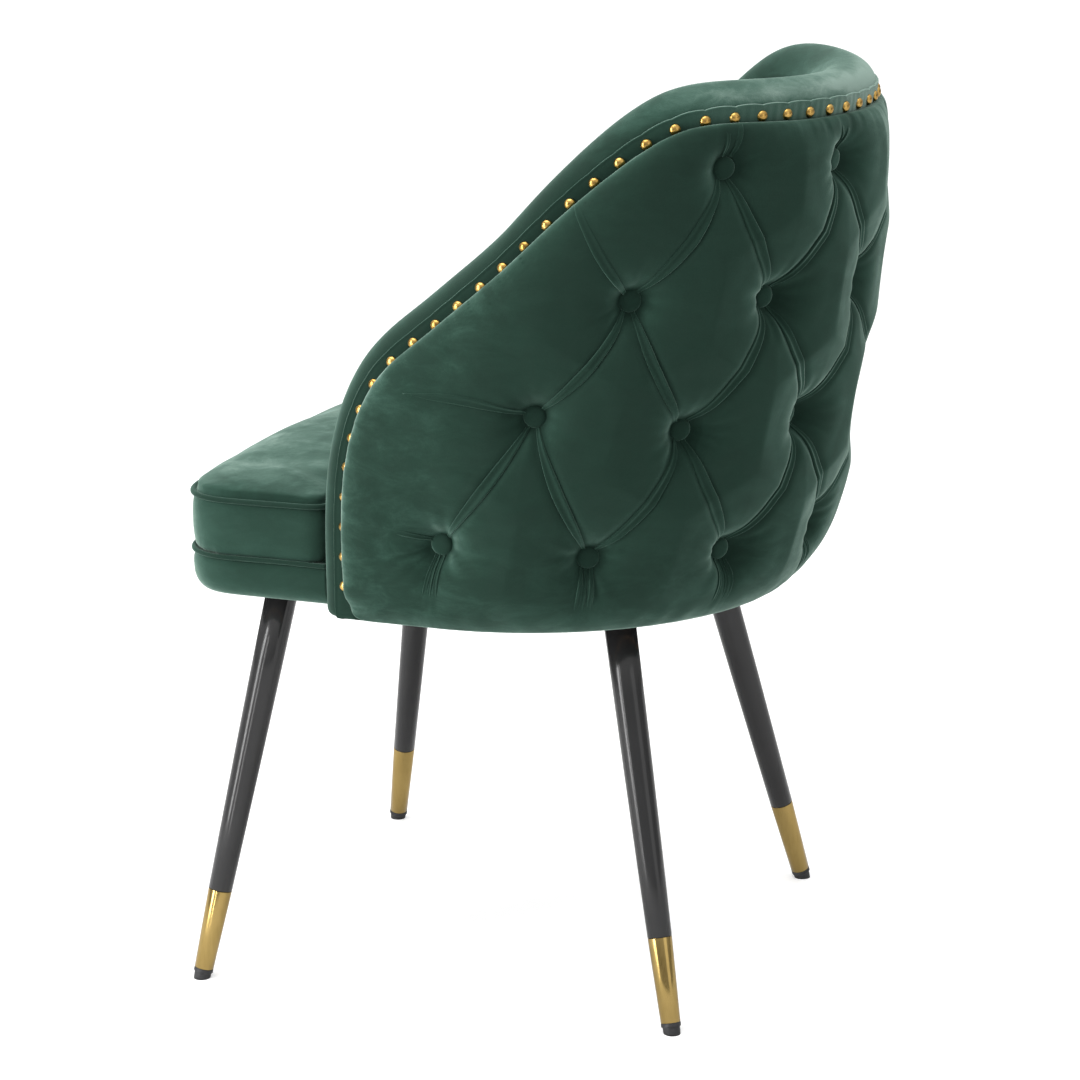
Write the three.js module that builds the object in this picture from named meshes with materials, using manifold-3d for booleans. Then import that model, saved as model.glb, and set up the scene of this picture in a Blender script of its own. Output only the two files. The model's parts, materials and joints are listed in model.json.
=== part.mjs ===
// A tub dining chair: a raked half-round back shell with buttoned padding, a boxed seat cushion,
// and four splayed tapered steel legs with brass ferrules.
// Millimetres, +Z up. The front of the chair faces -Y. The floor is z = 0.
import * as THREE from 'three';
import { mergeVertices } from 'three/addons/utils/BufferGeometryUtils.js';
import Module from 'manifold-3d';

const wasm = await Module();
wasm.setup();

// ---------- driving dimensions ----------
const GAP = 0.3;                  // between pieces that touch
const CUT_MARGIN = 1;             // a cutter beyond the face it cuts
const LEG_HEIGHT = 364;           // floor to the top of the steel leg
const SEAT_WIDTH = 446;           // over the front of the seat
const SEAT_OVERHANG = 161;        // seat in front of the wings
const SEAT_BOW = 13;              // how far the seat's front edge bows forward
const SEAT_CORNER = 52;
const APRON_HEIGHT = 34;
const APRON_THICK = 18;
const WELT_RADIUS = 4.5;
const WELT_ROUND = 0.6;           // rounded share of a welt's radius
const BORDER_HEIGHT = 44;         // cushion side between the two welts
const CUSHION_CROWN = 22;         // cushion top above its upper welt
const CUSHION_CORNER = 24;        // beside the wings
const CUSHION_INSET = 1;
const APRON_ROUND = 5;            // the apron's lower edge
const EDGE_DRAW = 0.7;            // a rounded edge's draw inwards for each unit of its height
const CORNER_SHARE = 0.62;        // the most of its step that a corner beside a wing may take
const CORNER_DRAW = 0.55;         // the most of that corner that the cushion's crown may draw in
const CUSHION_EASE = 1.5;         // beside the inside pad

const BACK_RADIUS = 245;          // outer face of the shell, where the nails sit
const BACK_HEIGHT = 453;          // shell bottom to the nails at the rear
const BACK_RAKE = 0.16;           // rearward lean of the shell for each unit of height
const WING_REACH = 84;            // wing edge in front of the shell's round part
const WING_FLARE = 3;             // the wing's foot in front of its edge higher up
const FRAME_THICK = 12;
const TRIM_THICK = 8;
const TRIM_BELOW = 8;             // trim band on each side of the nails
const TRIM_ABOVE = 12;
const ROLL_RADIUS = 30;
const ROLL_TUCK = 2;              // roll centre behind the nails
const PUFF = 37;                  // outside padding beyond the nails
const PUFF_LAYERS = [             // share of the puff, and how far the layer keeps from the pad's edges
  { share: 0.35, inside: 0.3, above: 0 },
  { share: 0.75, inside: 16, above: 14 },
  { share: 1, inside: 58, above: 56 },
];

const NAIL_RADIUS = 5;
const NAIL_RISE = 3.6;
const NAIL_SUNK = 2;              // into the trim band
const NAIL_PITCH = 27.3;
const BUTTON_RADIUS = 10.5;
const BUTTON_THICK = 6;
const POCKET_FLARE = 0.45;        // a pocket's widening for each unit of its depth
const BUTTON_ARC = 130;           // along the shell between two buttons of one row
const BUTTON_ROW = 115;
const BUTTON_FIRST_ROW = 62;      // above the shell's bottom edge
const BUTTONS_PER_ROW = [7, 6, 5, 4];
const BUTTON_ROW_RISE = 16;       // a row's rise from the middle of the back to the sides
const LIFTED_ROW = 1;             // the second row's end buttons sit a little higher
const END_BUTTON_LIFT = 9;

const BOARD_THICK = 18;
const COVER_THICK = 1;            // dust cover
const COVER_INSET = 4;            // inside the apron
const COVER_MARGIN = 6;           // inside the board's round edge
const APRON_DROP = 2;             // apron below the dust cover
const SHELL_LIFT = 1.5;           // shell above the leg plates' underside
const PLATE_THICK = 4;
const PLATE_LENGTH = 112;
const PLATE_WIDTH = 46;
const PLATE_CORNER = 8;
const BOLT_RADIUS = 3;
const BOLT_CLEARANCE = 0.6;
const BOLT_STEPS = [42, 70];      // from the leg's centre along its plate
const BOLT_HEAD_RADIUS = 6;
const BOLT_HEAD_HEIGHT = 3.3;
const BOLT_BITE = 13;             // into the board
const BOLT_HEAD_FLAT = 0.6;       // share of the head's radius
const BOLT_HEAD_EDGE = 0.35;      // share of the head's height
const SCREW_RADIUS = 2.5;
const SCREW_HEAD_RADIUS = 5;
const SCREW_LENGTH = 36;
const SCREW_HEAD_THICK = 3;
const SCREW_SUNK = 1.2;           // head below the frame's face
const SCREW_HOLE_OUT = 1.8;       // the hole runs out past the head
const SCREW_ANGLES = [-0.9, 0, 0.9];

const LEG_TOP_RADIUS = 14.75;
const LEG_JOINT_RADIUS = 11.1;    // where the ferrule meets the steel
const LEG_WALL = 1.6;
const LEG_SWELL = 0.35;           // halfway up, beyond a straight taper
const FERRULE_TOP = 87;           // along the leg from the floor
const FERRULE_FOOT = 10;
const FERRULE_FOOT_RADIUS = 9;
const FERRULE_WALL = 1.1;
const NECK_LENGTH = 50;           // steel inside the ferrule
const GLIDE_COLLAR = 3.6;
const GLIDE_RADIUS = 7.9;
const GLIDE_STEM = 18;
const FRONT_LEG_INSET = { side: 47, front: 96 };
const REAR_LEG_INSET = 57;        // inside the shell's radius
const REAR_LEG_ANGLE = 0.79;      // round from straight back
const FRONT_SPLAY = { x: 0.175, y: 0.168 };
const REAR_SPLAY = { x: 0.221, y: 0.222 };

// ---------- levels and places worked out from them ----------
const PLATE_LOW = LEG_HEIGHT + GAP;
const COVER_LOW = PLATE_LOW + PLATE_THICK + GAP;
const BOARD_LOW = COVER_LOW + COVER_THICK + GAP;
const FOAM_LOW = BOARD_LOW + BOARD_THICK + GAP;
const SHELL_LOW = PLATE_LOW + SHELL_LIFT;
const APRON_LOW = COVER_LOW - APRON_DROP;
const APRON_TOP = APRON_LOW + APRON_HEIGHT;
const LOWER_WELT = APRON_TOP + GAP + WELT_RADIUS;
const FOAM_TOP = LOWER_WELT + WELT_RADIUS;
const CUSHION_LOW = FOAM_TOP + GAP;
const UPPER_WELT = CUSHION_LOW + BORDER_HEIGHT + WELT_RADIUS;
const CUSHION_TOP = UPPER_WELT + CUSHION_CROWN;

const FRAME_OUTER = BACK_RADIUS - TRIM_THICK - GAP;
const FRAME_INNER = FRAME_OUTER - FRAME_THICK;
const LINING_OUTER = FRAME_INNER - GAP;
const ROLL_CENTRE = BACK_RADIUS - ROLL_RADIUS;
const LINING_INNER = ROLL_CENTRE - ROLL_RADIUS;
const PAD_INNER = BACK_RADIUS - TRIM_THICK;
const CUSHION_RADIUS = LINING_INNER - CUSHION_EASE;

const ARC_Y = 0;                  // centre of the shell's round part at SHELL_LOW
const WING_Y = ARC_Y - WING_REACH;
const WING_FRONT = WING_Y - WING_FLARE - ROLL_RADIUS + ROLL_TUCK - GAP;
const SEAT_FRONT = WING_FRONT - SEAT_OVERHANG;
const SIDE_REACH = BACK_RADIUS + PUFF;
const FAR = SIDE_REACH * 2;       // beyond every piece
const SHELL_REACH = WING_REACH + ROLL_RADIUS * 3;

const ARC_STEPS = 10;             // every round face round the seat and back shares these facets
const LEG_FACETS = 16;
const BOLT_FACETS = 8;
const NAIL_FACETS = 7;
const BUTTON_FACETS = 10;

const shellShift = (z) => BACK_RAKE * (z - SHELL_LOW);

// ---------- solids ----------
function solid(geometry) {
  const bare = geometry.index ? geometry.toNonIndexed() : geometry.clone();
  for (const name of Object.keys(bare.attributes)) {
    if (name !== 'position') bare.deleteAttribute(name);
  }
  const merged = mergeVertices(bare, 1e-3);
  const triVerts = new Uint32Array(merged.index.array);
  const vertProperties = new Float32Array(merged.attributes.position.array);
  return new wasm.Manifold(new wasm.Mesh({ numProp: 3, vertProperties, triVerts }));
}

function geometryOf(body) {
  const mesh = body.getMesh();
  const geometry = new THREE.BufferGeometry();
  const position = new THREE.BufferAttribute(new Float32Array(mesh.vertProperties), 3);
  geometry.setAttribute('position', position);
  geometry.setIndex(new THREE.BufferAttribute(new Uint32Array(mesh.triVerts), 1));
  const faceted = geometry.toNonIndexed();
  faceted.computeVertexNormals();
  return faceted;
}

function unite(bodies) {
  return bodies.reduce((sum, body) => sum.add(body));
}

// A flat shape drawn in plan, from one level to another.
function plate(shape, low, high) {
  const options = { depth: high - low, bevelEnabled: false, curveSegments: ARC_STEPS };
  return solid(new THREE.ExtrudeGeometry(shape, options).translate(0, 0, low));
}

// The same with its upper or lower edge rounded: by a height, and by a draw inwards in plan.
function roundedPlate(shape, low, high, round, draw, roundsTop) {
  const options = {
    depth: high - low - round,
    bevelEnabled: true,
    bevelThickness: round,
    bevelSize: draw,
    bevelOffset: -draw,
    bevelSegments: 2,
    curveSegments: ARC_STEPS,
  };
  const base = roundsTop ? low : low + round;
  const body = solid(new THREE.ExtrudeGeometry(shape, options).translate(0, 0, base));
  const cutter = roundsTop
    ? block([0, 0, low - FAR / 2], [FAR * 2, FAR * 2, FAR])
    : block([0, 0, high + FAR / 2], [FAR * 2, FAR * 2, FAR]);
  return body.subtract(cutter);
}

function block(centre, size) {
  return solid(new THREE.BoxGeometry(...size).translate(...centre));
}

// A body of revolution round +Z from its radius and height pairs, listed bottom to top.
function turned(profile, segments) {
  const points = profile.map(([radius, height]) => new THREE.Vector2(radius, height));
  return new THREE.LatheGeometry(points, segments).rotateX(Math.PI / 2);
}

// Turns +Z to the direction and moves the origin to the point.
function along(geometry, point, direction) {
  const up = new THREE.Vector3(0, 0, 1);
  const turn = new THREE.Quaternion().setFromUnitVectors(up, direction.clone().normalize());
  return geometry.applyQuaternion(turn).translate(point.x, point.y, point.z);
}

// ---------- the shell's edge, seen from the side ----------
// Each point is a share of the edge's depth and of its height: up the wing, up the slope,
// and over to the rear.
const EDGE_DEPTH = WING_REACH + BACK_RADIUS + BACK_RAKE * BACK_HEIGHT;
const EDGE_SHAPE = [
  [-WING_FLARE / EDGE_DEPTH, 0], [0, 0.3], [0.07, 0.483], [0.216, 0.603],
  [0.363, 0.715], [0.515, 0.848], [0.664, 0.958], [0.776, 1.0], [1, 0.998],
];
const edgeCurve = new THREE.SplineCurve(EDGE_SHAPE.map(([along, up]) => new THREE.Vector2(
  WING_Y + along * EDGE_DEPTH,
  SHELL_LOW + up * BACK_HEIGHT,
)));

// The edge moved outwards by an offset, as points of depth and height.
function edgePoints(offset, steps = 20) {
  return edgeCurve.getSpacedPoints(steps).map((point, i) => {
    const tangent = edgeCurve.getTangentAt(i / steps);
    return new THREE.Vector2(point.x - tangent.y * offset, point.y + tangent.x * offset);
  });
}

// Everything under the edge moved outwards by an offset.
function underEdge(offset) {
  const points = edgePoints(offset);
  const first = points[0];
  const last = points[points.length - 1];
  const shape = new THREE.Shape();
  shape.moveTo(first.x, first.y - LEG_HEIGHT);
  points.forEach((point) => shape.lineTo(point.x, point.y));
  shape.lineTo(FAR, last.y);
  shape.lineTo(FAR, first.y - LEG_HEIGHT);
  const options = { depth: FAR * 2, bevelEnabled: false };
  const geometry = new THREE.ExtrudeGeometry(shape, options).translate(0, 0, -FAR);
  const sideways = new THREE.Matrix4().makeBasis(
    new THREE.Vector3(0, 1, 0),
    new THREE.Vector3(0, 0, 1),
    new THREE.Vector3(1, 0, 0),
  );
  return solid(geometry.applyMatrix4(sideways));
}

// A U-shaped wall between two radii, leaning back as it rises.
function shellWall(inner, outer, low, high) {
  const shape = new THREE.Shape();
  shape.moveTo(outer, -SHELL_REACH);
  shape.lineTo(outer, 0);
  shape.absarc(0, 0, outer, 0, Math.PI, false);
  shape.lineTo(-outer, -SHELL_REACH);
  shape.lineTo(-inner, -SHELL_REACH);
  shape.absarc(0, 0, inner, Math.PI, 0, true);
  shape.lineTo(inner, -SHELL_REACH);
  const options = { depth: high - low, bevelEnabled: false, curveSegments: ARC_STEPS };
  const geometry = new THREE.ExtrudeGeometry(shape, options);
  const lean = new THREE.Matrix4().makeShear(0, 0, 0, 0, 0, BACK_RAKE);
  geometry.applyMatrix4(lean);
  return solid(geometry.translate(0, ARC_Y + shellShift(low), low));
}

const SHELL_HIGH = SHELL_LOW + BACK_HEIGHT + ROLL_RADIUS * 2;

// The point of a shell surface at an angle round from straight back.
function shellPoint(radius, angle, z) {
  const x = radius * Math.sin(angle);
  return new THREE.Vector3(x, ARC_Y + shellShift(z) + radius * Math.cos(angle), z);
}

function shellNormal(angle) {
  const back = Math.cos(angle);
  return new THREE.Vector3(Math.sin(angle), back, -BACK_RAKE * back).normalize();
}

// The edge on a shell surface in space, from the middle of the back to the foot of the +X wing.
function edgePath(radius, offset) {
  const side = edgePoints(offset, 60);
  const heightAt = (y) => {
    const after = side.findIndex((point) => point.x > y && point.y > SHELL_LOW + BACK_HEIGHT / 2);
    if (after < 1) return side[side.length - 1].y;
    const [a, b] = [side[after - 1], side[after]];
    return THREE.MathUtils.lerp(a.y, b.y, (y - a.x) / (b.x - a.x));
  };
  const path = [];
  const turns = 14;
  const passes = 6;               // the level and the shell's lean at it are found together
  for (let i = 0; i < turns; i += 1) {
    const angle = (i / turns) * (Math.PI / 2);
    let z = SHELL_LOW + BACK_HEIGHT;
    for (let pass = 0; pass < passes; pass += 1) z = heightAt(shellPoint(radius, angle, z).y);
    path.push(shellPoint(radius, angle, z));
  }
  const wing = side.filter((point) => point.x < ARC_Y + shellShift(point.y)).reverse();
  wing.filter((point, i) => i % 3 === 0).forEach((point) => {
    path.push(new THREE.Vector3(radius, point.x, point.y));
  });
  path.push(new THREE.Vector3(radius, side[0].x, SHELL_LOW));
  return path;
}

function mirrored(path) {
  const other = path.slice(1).reverse().map((p) => new THREE.Vector3(-p.x, p.y, p.z));
  return other.concat(path);
}

// ---------- seat outlines ----------
// The front of the seat from one wing round to the other, drawn in by an inset. It starts on the
// given side, 1 for +X and -1 for -X.
function frontEdge(shape, inset, rear, side) {
  const half = side * (SEAT_WIDTH / 2 - inset);
  const corner = SEAT_CORNER - inset;
  const shoulder = half - side * corner;
  const front = SEAT_FRONT + SEAT_BOW + inset;
  shape.lineTo(half, rear);
  shape.lineTo(half, front + corner);
  shape.quadraticCurveTo(half, front, shoulder, front - SEAT_BOW / 3);
  shape.quadraticCurveTo(0, front - SEAT_BOW * 5 / 3, -shoulder, front - SEAT_BOW / 3);
  shape.quadraticCurveTo(-half, front, -half, front + corner);
  shape.lineTo(-half, rear);
}

// The corner beside each wing, limited by the step between the seat's width and the radius behind it.
function cornerAtWing(inset, radius, corner) {
  const step = SEAT_WIDTH / 2 - inset - radius;
  return Math.min(corner, Math.max(step, 0) * CORNER_SHARE);
}

// A seat layer: as wide as the seat down to a rear edge, and as wide as the given radius behind it.
function seatOutline(inset, radius, z, rear, corner) {
  const half = SEAT_WIDTH / 2 - inset;
  const arcY = ARC_Y + shellShift(z);
  const shape = new THREE.Shape();
  shape.moveTo(-radius, arcY);
  if (corner > 0) {
    shape.lineTo(-radius, rear + corner / 2);
    shape.quadraticCurveTo(-radius, rear, -radius - corner / 2, rear);
    shape.lineTo(-half + corner, rear);
    shape.quadraticCurveTo(-half, rear, -half, rear - corner);
    frontEdge(shape, inset, rear - corner, -1);
    shape.quadraticCurveTo(half, rear, half - corner, rear);
    shape.lineTo(radius + corner / 2, rear);
    shape.quadraticCurveTo(radius, rear, radius, rear + corner / 2);
  } else {
    shape.lineTo(-radius, rear);
    frontEdge(shape, inset, rear, -1);
    shape.lineTo(radius, rear);
  }
  shape.lineTo(radius, arcY);
  shape.absarc(0, arcY, radius, 0, Math.PI, false);
  return shape;
}

// A strip along the front of the seat, from wing to wing.
function frontStrip(outerInset, innerInset, rear) {
  const shape = new THREE.Shape();
  shape.moveTo(-SEAT_WIDTH / 2 + outerInset, rear);
  frontEdge(shape, outerInset, rear, -1);
  frontEdge(shape, innerInset, rear, 1);
  return shape;
}

// ---------- materials and the chair ----------
const finishes = {
  velvet: { color: 0x2f4d40, roughness: 0.85, metalness: 0 },
  blackSteel: { color: 0x2b2b2d, roughness: 0.28, metalness: 0.4 },
  brass: { color: 0xc49a4a, roughness: 0.25, metalness: 1 },
  rubber: { color: 0x2a2a2c, roughness: 0.7, metalness: 0 },
  plywood: { color: 0xb58a58, roughness: 0.8, metalness: 0 },
  foam: { color: 0xd9cf9d, roughness: 0.95, metalness: 0 },
  zincSteel: { color: 0x9a9da0, roughness: 0.4, metalness: 0.9 },
  dustCloth: { color: 0x1c1c1e, roughness: 0.95, metalness: 0 },
};

const chair = new THREE.Group();

function addPiece(name, body, finish) {
  const material = new THREE.MeshStandardMaterial(finishes[finish]);
  const mesh = new THREE.Mesh(geometryOf(body), material);
  mesh.name = name;
  chair.add(mesh);
}

// ---------- legs ----------
const seatCentreY = (SEAT_FRONT + ARC_Y + BACK_RADIUS) / 2;
const frontTop = {
  x: SEAT_WIDTH / 2 - FRONT_LEG_INSET.side,
  y: SEAT_FRONT + FRONT_LEG_INSET.front,
};
const rearTop = {
  x: (BACK_RADIUS - REAR_LEG_INSET) * Math.sin(REAR_LEG_ANGLE),
  y: ARC_Y + (BACK_RADIUS - REAR_LEG_INSET) * Math.cos(REAR_LEG_ANGLE),
};
const legs = [];
for (const [side, sign] of [['left', 1], ['right', -1]]) {
  legs.push({
    name: `front_${side}`,
    top: new THREE.Vector3(sign * frontTop.x, frontTop.y, LEG_HEIGHT),
    rise: new THREE.Vector3(-sign * FRONT_SPLAY.x, FRONT_SPLAY.y, 1),
  });
  legs.push({
    name: `rear_${side}`,
    top: new THREE.Vector3(sign * rearTop.x, rearTop.y, LEG_HEIGHT),
    rise: new THREE.Vector3(-sign * REAR_SPLAY.x, -REAR_SPLAY.y, 1),
  });
}
for (const leg of legs) {
  leg.foot = leg.top.clone().addScaledVector(leg.rise, -LEG_HEIGHT);
  leg.length = leg.rise.length() * LEG_HEIGHT;
  leg.inward = new THREE.Vector3(-leg.top.x, seatCentreY - leg.top.y, 0).normalize();
}

// Radii of the two tapers at a distance along the leg.
function ferruleRadius(distance) {
  const share = (distance - FERRULE_FOOT) / (FERRULE_TOP - FERRULE_FOOT);
  return THREE.MathUtils.lerp(FERRULE_FOOT_RADIUS, LEG_JOINT_RADIUS, share);
}

function makeLeg(leg) {
  const joint = FERRULE_TOP + GAP;
  const neckFoot = FERRULE_TOP - NECK_LENGTH;
  const neckTop = ferruleRadius(FERRULE_TOP) - FERRULE_WALL - GAP;
  const neckLow = ferruleRadius(neckFoot) - FERRULE_WALL - GAP;
  const beyond = leg.length + LEG_TOP_RADIUS;
  const middle = (joint + leg.length) / 2;
  const middleRadius = (LEG_JOINT_RADIUS + LEG_TOP_RADIUS) / 2 + LEG_SWELL;
  const tube = turned([
    [neckLow - LEG_WALL, neckFoot], [neckLow, neckFoot], [neckTop, joint],
    [LEG_JOINT_RADIUS, joint], [middleRadius, middle], [LEG_TOP_RADIUS, leg.length],
    [LEG_TOP_RADIUS, beyond], [LEG_TOP_RADIUS - LEG_WALL, beyond],
    [LEG_TOP_RADIUS - LEG_WALL, leg.length], [middleRadius - LEG_WALL, middle],
    [neckTop - LEG_WALL, joint], [neckLow - LEG_WALL, neckFoot],
  ], LEG_FACETS);
  const above = block([leg.top.x, leg.top.y, LEG_HEIGHT + FAR / 2], [FAR, FAR, FAR]);
  return solid(along(tube, leg.foot, leg.rise)).subtract(above);
}

function makeFerrule(leg) {
  const sleeve = turned([
    [FERRULE_FOOT_RADIUS - FERRULE_WALL, FERRULE_FOOT], [FERRULE_FOOT_RADIUS, FERRULE_FOOT],
    [LEG_JOINT_RADIUS, FERRULE_TOP], [LEG_JOINT_RADIUS - FERRULE_WALL, FERRULE_TOP],
    [FERRULE_FOOT_RADIUS - FERRULE_WALL, FERRULE_FOOT],
  ], LEG_FACETS);
  return solid(along(sleeve, leg.foot, leg.rise));
}

function makeGlide(leg) {
  const stem = FERRULE_FOOT_RADIUS - FERRULE_WALL - GAP;
  const collarTop = FERRULE_FOOT - GAP;
  const plug = turned([
    [0, -GLIDE_RADIUS], [GLIDE_RADIUS, -GLIDE_RADIUS], [GLIDE_RADIUS, collarTop - GLIDE_COLLAR],
    [FERRULE_FOOT_RADIUS, collarTop - GLIDE_COLLAR], [FERRULE_FOOT_RADIUS, collarTop],
    [stem, collarTop], [stem, collarTop + GLIDE_STEM], [0, collarTop + GLIDE_STEM],
  ], LEG_FACETS);
  const below = block([leg.foot.x, leg.foot.y, -FAR / 2], [FAR, FAR, FAR]);
  return solid(along(plug, leg.foot, leg.rise)).subtract(below);
}

function boltPoint(leg, step, z) {
  const point = leg.top.clone().addScaledVector(leg.inward, step);
  point.z = z;
  return point;
}

function boltHole(leg, step, low, high) {
  const radius = BOLT_RADIUS + BOLT_CLEARANCE;
  const rise = high - low;
  const hole = turned([[0, 0], [radius, 0], [radius, rise], [0, rise]], BOLT_FACETS);
  return solid(along(hole, boltPoint(leg, step, low), new THREE.Vector3(0, 0, 1)));
}

function makePlate(leg) {
  const half = PLATE_WIDTH / 2;
  const end = PLATE_LENGTH - half;
  const shape = new THREE.Shape();
  shape.moveTo(0, -half);
  shape.lineTo(end - PLATE_CORNER, -half);
  shape.absarc(end - PLATE_CORNER, -half + PLATE_CORNER, PLATE_CORNER, -Math.PI / 2, 0, false);
  shape.lineTo(end, half - PLATE_CORNER);
  shape.absarc(end - PLATE_CORNER, half - PLATE_CORNER, PLATE_CORNER, 0, Math.PI / 2, false);
  shape.lineTo(0, half);
  shape.absarc(0, 0, half, Math.PI / 2, Math.PI * 1.5, false);
  const options = { depth: PLATE_THICK, bevelEnabled: false, curveSegments: 3 };
  const geometry = new THREE.ExtrudeGeometry(shape, options);
  geometry.rotateZ(Math.atan2(leg.inward.y, leg.inward.x));
  geometry.translate(leg.top.x, leg.top.y, PLATE_LOW);
  const [low, high] = [PLATE_LOW - CUT_MARGIN, PLATE_LOW + PLATE_THICK + CUT_MARGIN];
  const holes = BOLT_STEPS.map((step) => boltHole(leg, step, low, high));
  return holes.reduce((body, hole) => body.subtract(hole), solid(geometry));
}

function makeBolt(leg, step) {
  const headTop = PLATE_LOW - GAP;
  const shankTop = BOARD_LOW + BOLT_BITE;
  const bolt = turned([
    [0, headTop - BOLT_HEAD_HEIGHT],
    [BOLT_HEAD_RADIUS * BOLT_HEAD_FLAT, headTop - BOLT_HEAD_HEIGHT],
    [BOLT_HEAD_RADIUS, headTop - BOLT_HEAD_HEIGHT * BOLT_HEAD_EDGE], [BOLT_HEAD_RADIUS, headTop],
    [BOLT_RADIUS, headTop], [BOLT_RADIUS, shankTop], [0, shankTop],
  ], BOLT_FACETS);
  const heightOnly = new THREE.Vector3(0, 0, 1);
  return solid(along(bolt, boltPoint(leg, step, 0), heightOnly));
}

for (const leg of legs) {
  addPiece(`leg_${leg.name}`, makeLeg(leg), 'blackSteel');
  addPiece(`ferrule_${leg.name}`, makeFerrule(leg), 'brass');
  addPiece(`glide_${leg.name}`, makeGlide(leg), 'rubber');
  addPiece(`leg_plate_${leg.name}`, makePlate(leg), 'blackSteel');
  BOLT_STEPS.forEach((step, i) => {
    addPiece(`leg_bolt_${leg.name}_${i + 1}`, makeBolt(leg, step), 'zincSteel');
  });
}

// ---------- seat ----------
const everyBoltHole = (low, high) => unite(
  legs.flatMap((leg) => BOLT_STEPS.map((step) => boltHole(leg, step, low, high))),
);

// Room for the roll's foot at each wing.
const wingNotches = unite([1, -1].map((sign) => block(
  [sign * ROLL_CENTRE, WING_Y, BOARD_LOW],
  [(ROLL_RADIUS + GAP) * 2, (ROLL_RADIUS + GAP) * 2, FAR],
)));

function screwDirection(angle) {
  return new THREE.Vector3(Math.sin(angle), Math.cos(angle), 0);
}

const SCREW_LEVEL = BOARD_LOW + BOARD_THICK / 2;

// A screw, or with a clearance the hole that it sits in.
function screwBody(angle, clearance) {
  const start = FRAME_OUTER - SCREW_LENGTH - clearance;
  const end = FRAME_OUTER - SCREW_SUNK + (clearance > 0 ? SCREW_HOLE_OUT : 0);
  const headStart = FRAME_OUTER - SCREW_SUNK - SCREW_HEAD_THICK - clearance;
  const screw = turned([
    [0, start], [SCREW_RADIUS + clearance, start], [SCREW_RADIUS + clearance, headStart],
    [SCREW_HEAD_RADIUS + clearance, headStart], [SCREW_HEAD_RADIUS + clearance, end], [0, end],
  ], BOLT_FACETS);
  const centre = new THREE.Vector3(0, ARC_Y + shellShift(SCREW_LEVEL), SCREW_LEVEL);
  return solid(along(screw, centre, screwDirection(angle)));
}

const screwHoles = unite(SCREW_ANGLES.map((angle) => screwBody(angle, GAP)));

const boardRadius = FRAME_INNER - GAP - BACK_RAKE * BOARD_THICK;
// A seat wider than the back's inside narrows in front of the wings, and a narrower one widens behind them.
const widensBehindWings = SEAT_WIDTH / 2 - APRON_THICK <= boardRadius;
const apronRear = WING_FRONT - GAP;
const boardStep = widensBehindWings ? WING_Y + ROLL_RADIUS : apronRear;
const board = plate(
  seatOutline(APRON_THICK + GAP, boardRadius, BOARD_LOW + BOARD_THICK, boardStep, 0),
  BOARD_LOW,
  BOARD_LOW + BOARD_THICK,
).subtract(wingNotches).subtract(everyBoltHole(BOARD_LOW - CUT_MARGIN, BOARD_LOW + BOLT_BITE + CUT_MARGIN))
  .subtract(screwHoles);
addPiece('seat_board', board, 'plywood');

const dustCover = plate(
  seatOutline(APRON_THICK + COVER_INSET, boardRadius - COVER_MARGIN, COVER_LOW, boardStep, 0),
  COVER_LOW,
  COVER_LOW + COVER_THICK,
).subtract(wingNotches.translate([0, 0, -BOARD_THICK]))
  .subtract(everyBoltHole(COVER_LOW - CUT_MARGIN, COVER_LOW + COVER_THICK + CUT_MARGIN));
addPiece('dust_cover', dustCover, 'dustCloth');

const apronStrip = frontStrip(0, APRON_THICK, apronRear);
const apron = roundedPlate(apronStrip, APRON_LOW, APRON_TOP, APRON_ROUND, APRON_ROUND * EDGE_DRAW, false)
  .subtract(block([0, apronRear + FAR / 2, APRON_LOW], [FAR * 2, FAR, FAR]));
addPiece('seat_apron', apron, 'velvet');

const foamSlab = plate(
  seatOutline(APRON_THICK + GAP, CUSHION_RADIUS, FOAM_LOW, apronRear, 0),
  FOAM_LOW,
  FOAM_TOP,
);
addPiece('seat_foam', foamSlab, 'foam');

// A welt is a cord-filled strip with a rounded section.
function makeWelt(level, rear) {
  const reach = WELT_RADIUS * WELT_ROUND;
  const inset = CUSHION_INSET - reach;
  const options = {
    depth: (WELT_RADIUS - reach) * 2,
    bevelEnabled: true,
    bevelThickness: reach,
    bevelSize: reach,
    bevelSegments: 2,
    curveSegments: 6,
  };
  const strip = frontStrip(inset + reach * 2, inset + WELT_RADIUS * 2, rear - reach);
  const low = level - (WELT_RADIUS - reach);
  return solid(new THREE.ExtrudeGeometry(strip, options).translate(0, 0, low));
}
addPiece('lower_welt', makeWelt(LOWER_WELT, apronRear), 'velvet');
addPiece('upper_welt', makeWelt(UPPER_WELT, apronRear - CUSHION_CORNER), 'velvet');

const groove = plate(
  frontStrip(-WELT_RADIUS * 2, WELT_RADIUS * 2 + CUSHION_INSET + GAP * 2, apronRear + GAP),
  UPPER_WELT - WELT_RADIUS - GAP,
  UPPER_WELT + WELT_RADIUS + GAP,
);
const cushionCorner = cornerAtWing(CUSHION_INSET, CUSHION_RADIUS, CUSHION_CORNER);
const crownRound = CUSHION_CROWN - WELT_RADIUS;
const crownDraw = cushionCorner > 0
  ? Math.min(crownRound * EDGE_DRAW, cushionCorner * CORNER_DRAW)
  : crownRound * EDGE_DRAW;
const cushion = roundedPlate(
  seatOutline(CUSHION_INSET, CUSHION_RADIUS, CUSHION_LOW, apronRear, cushionCorner),
  CUSHION_LOW,
  CUSHION_TOP,
  crownRound,
  crownDraw,
  true,
).subtract(groove);
addPiece('seat_cushion', cushion, 'velvet');

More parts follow.
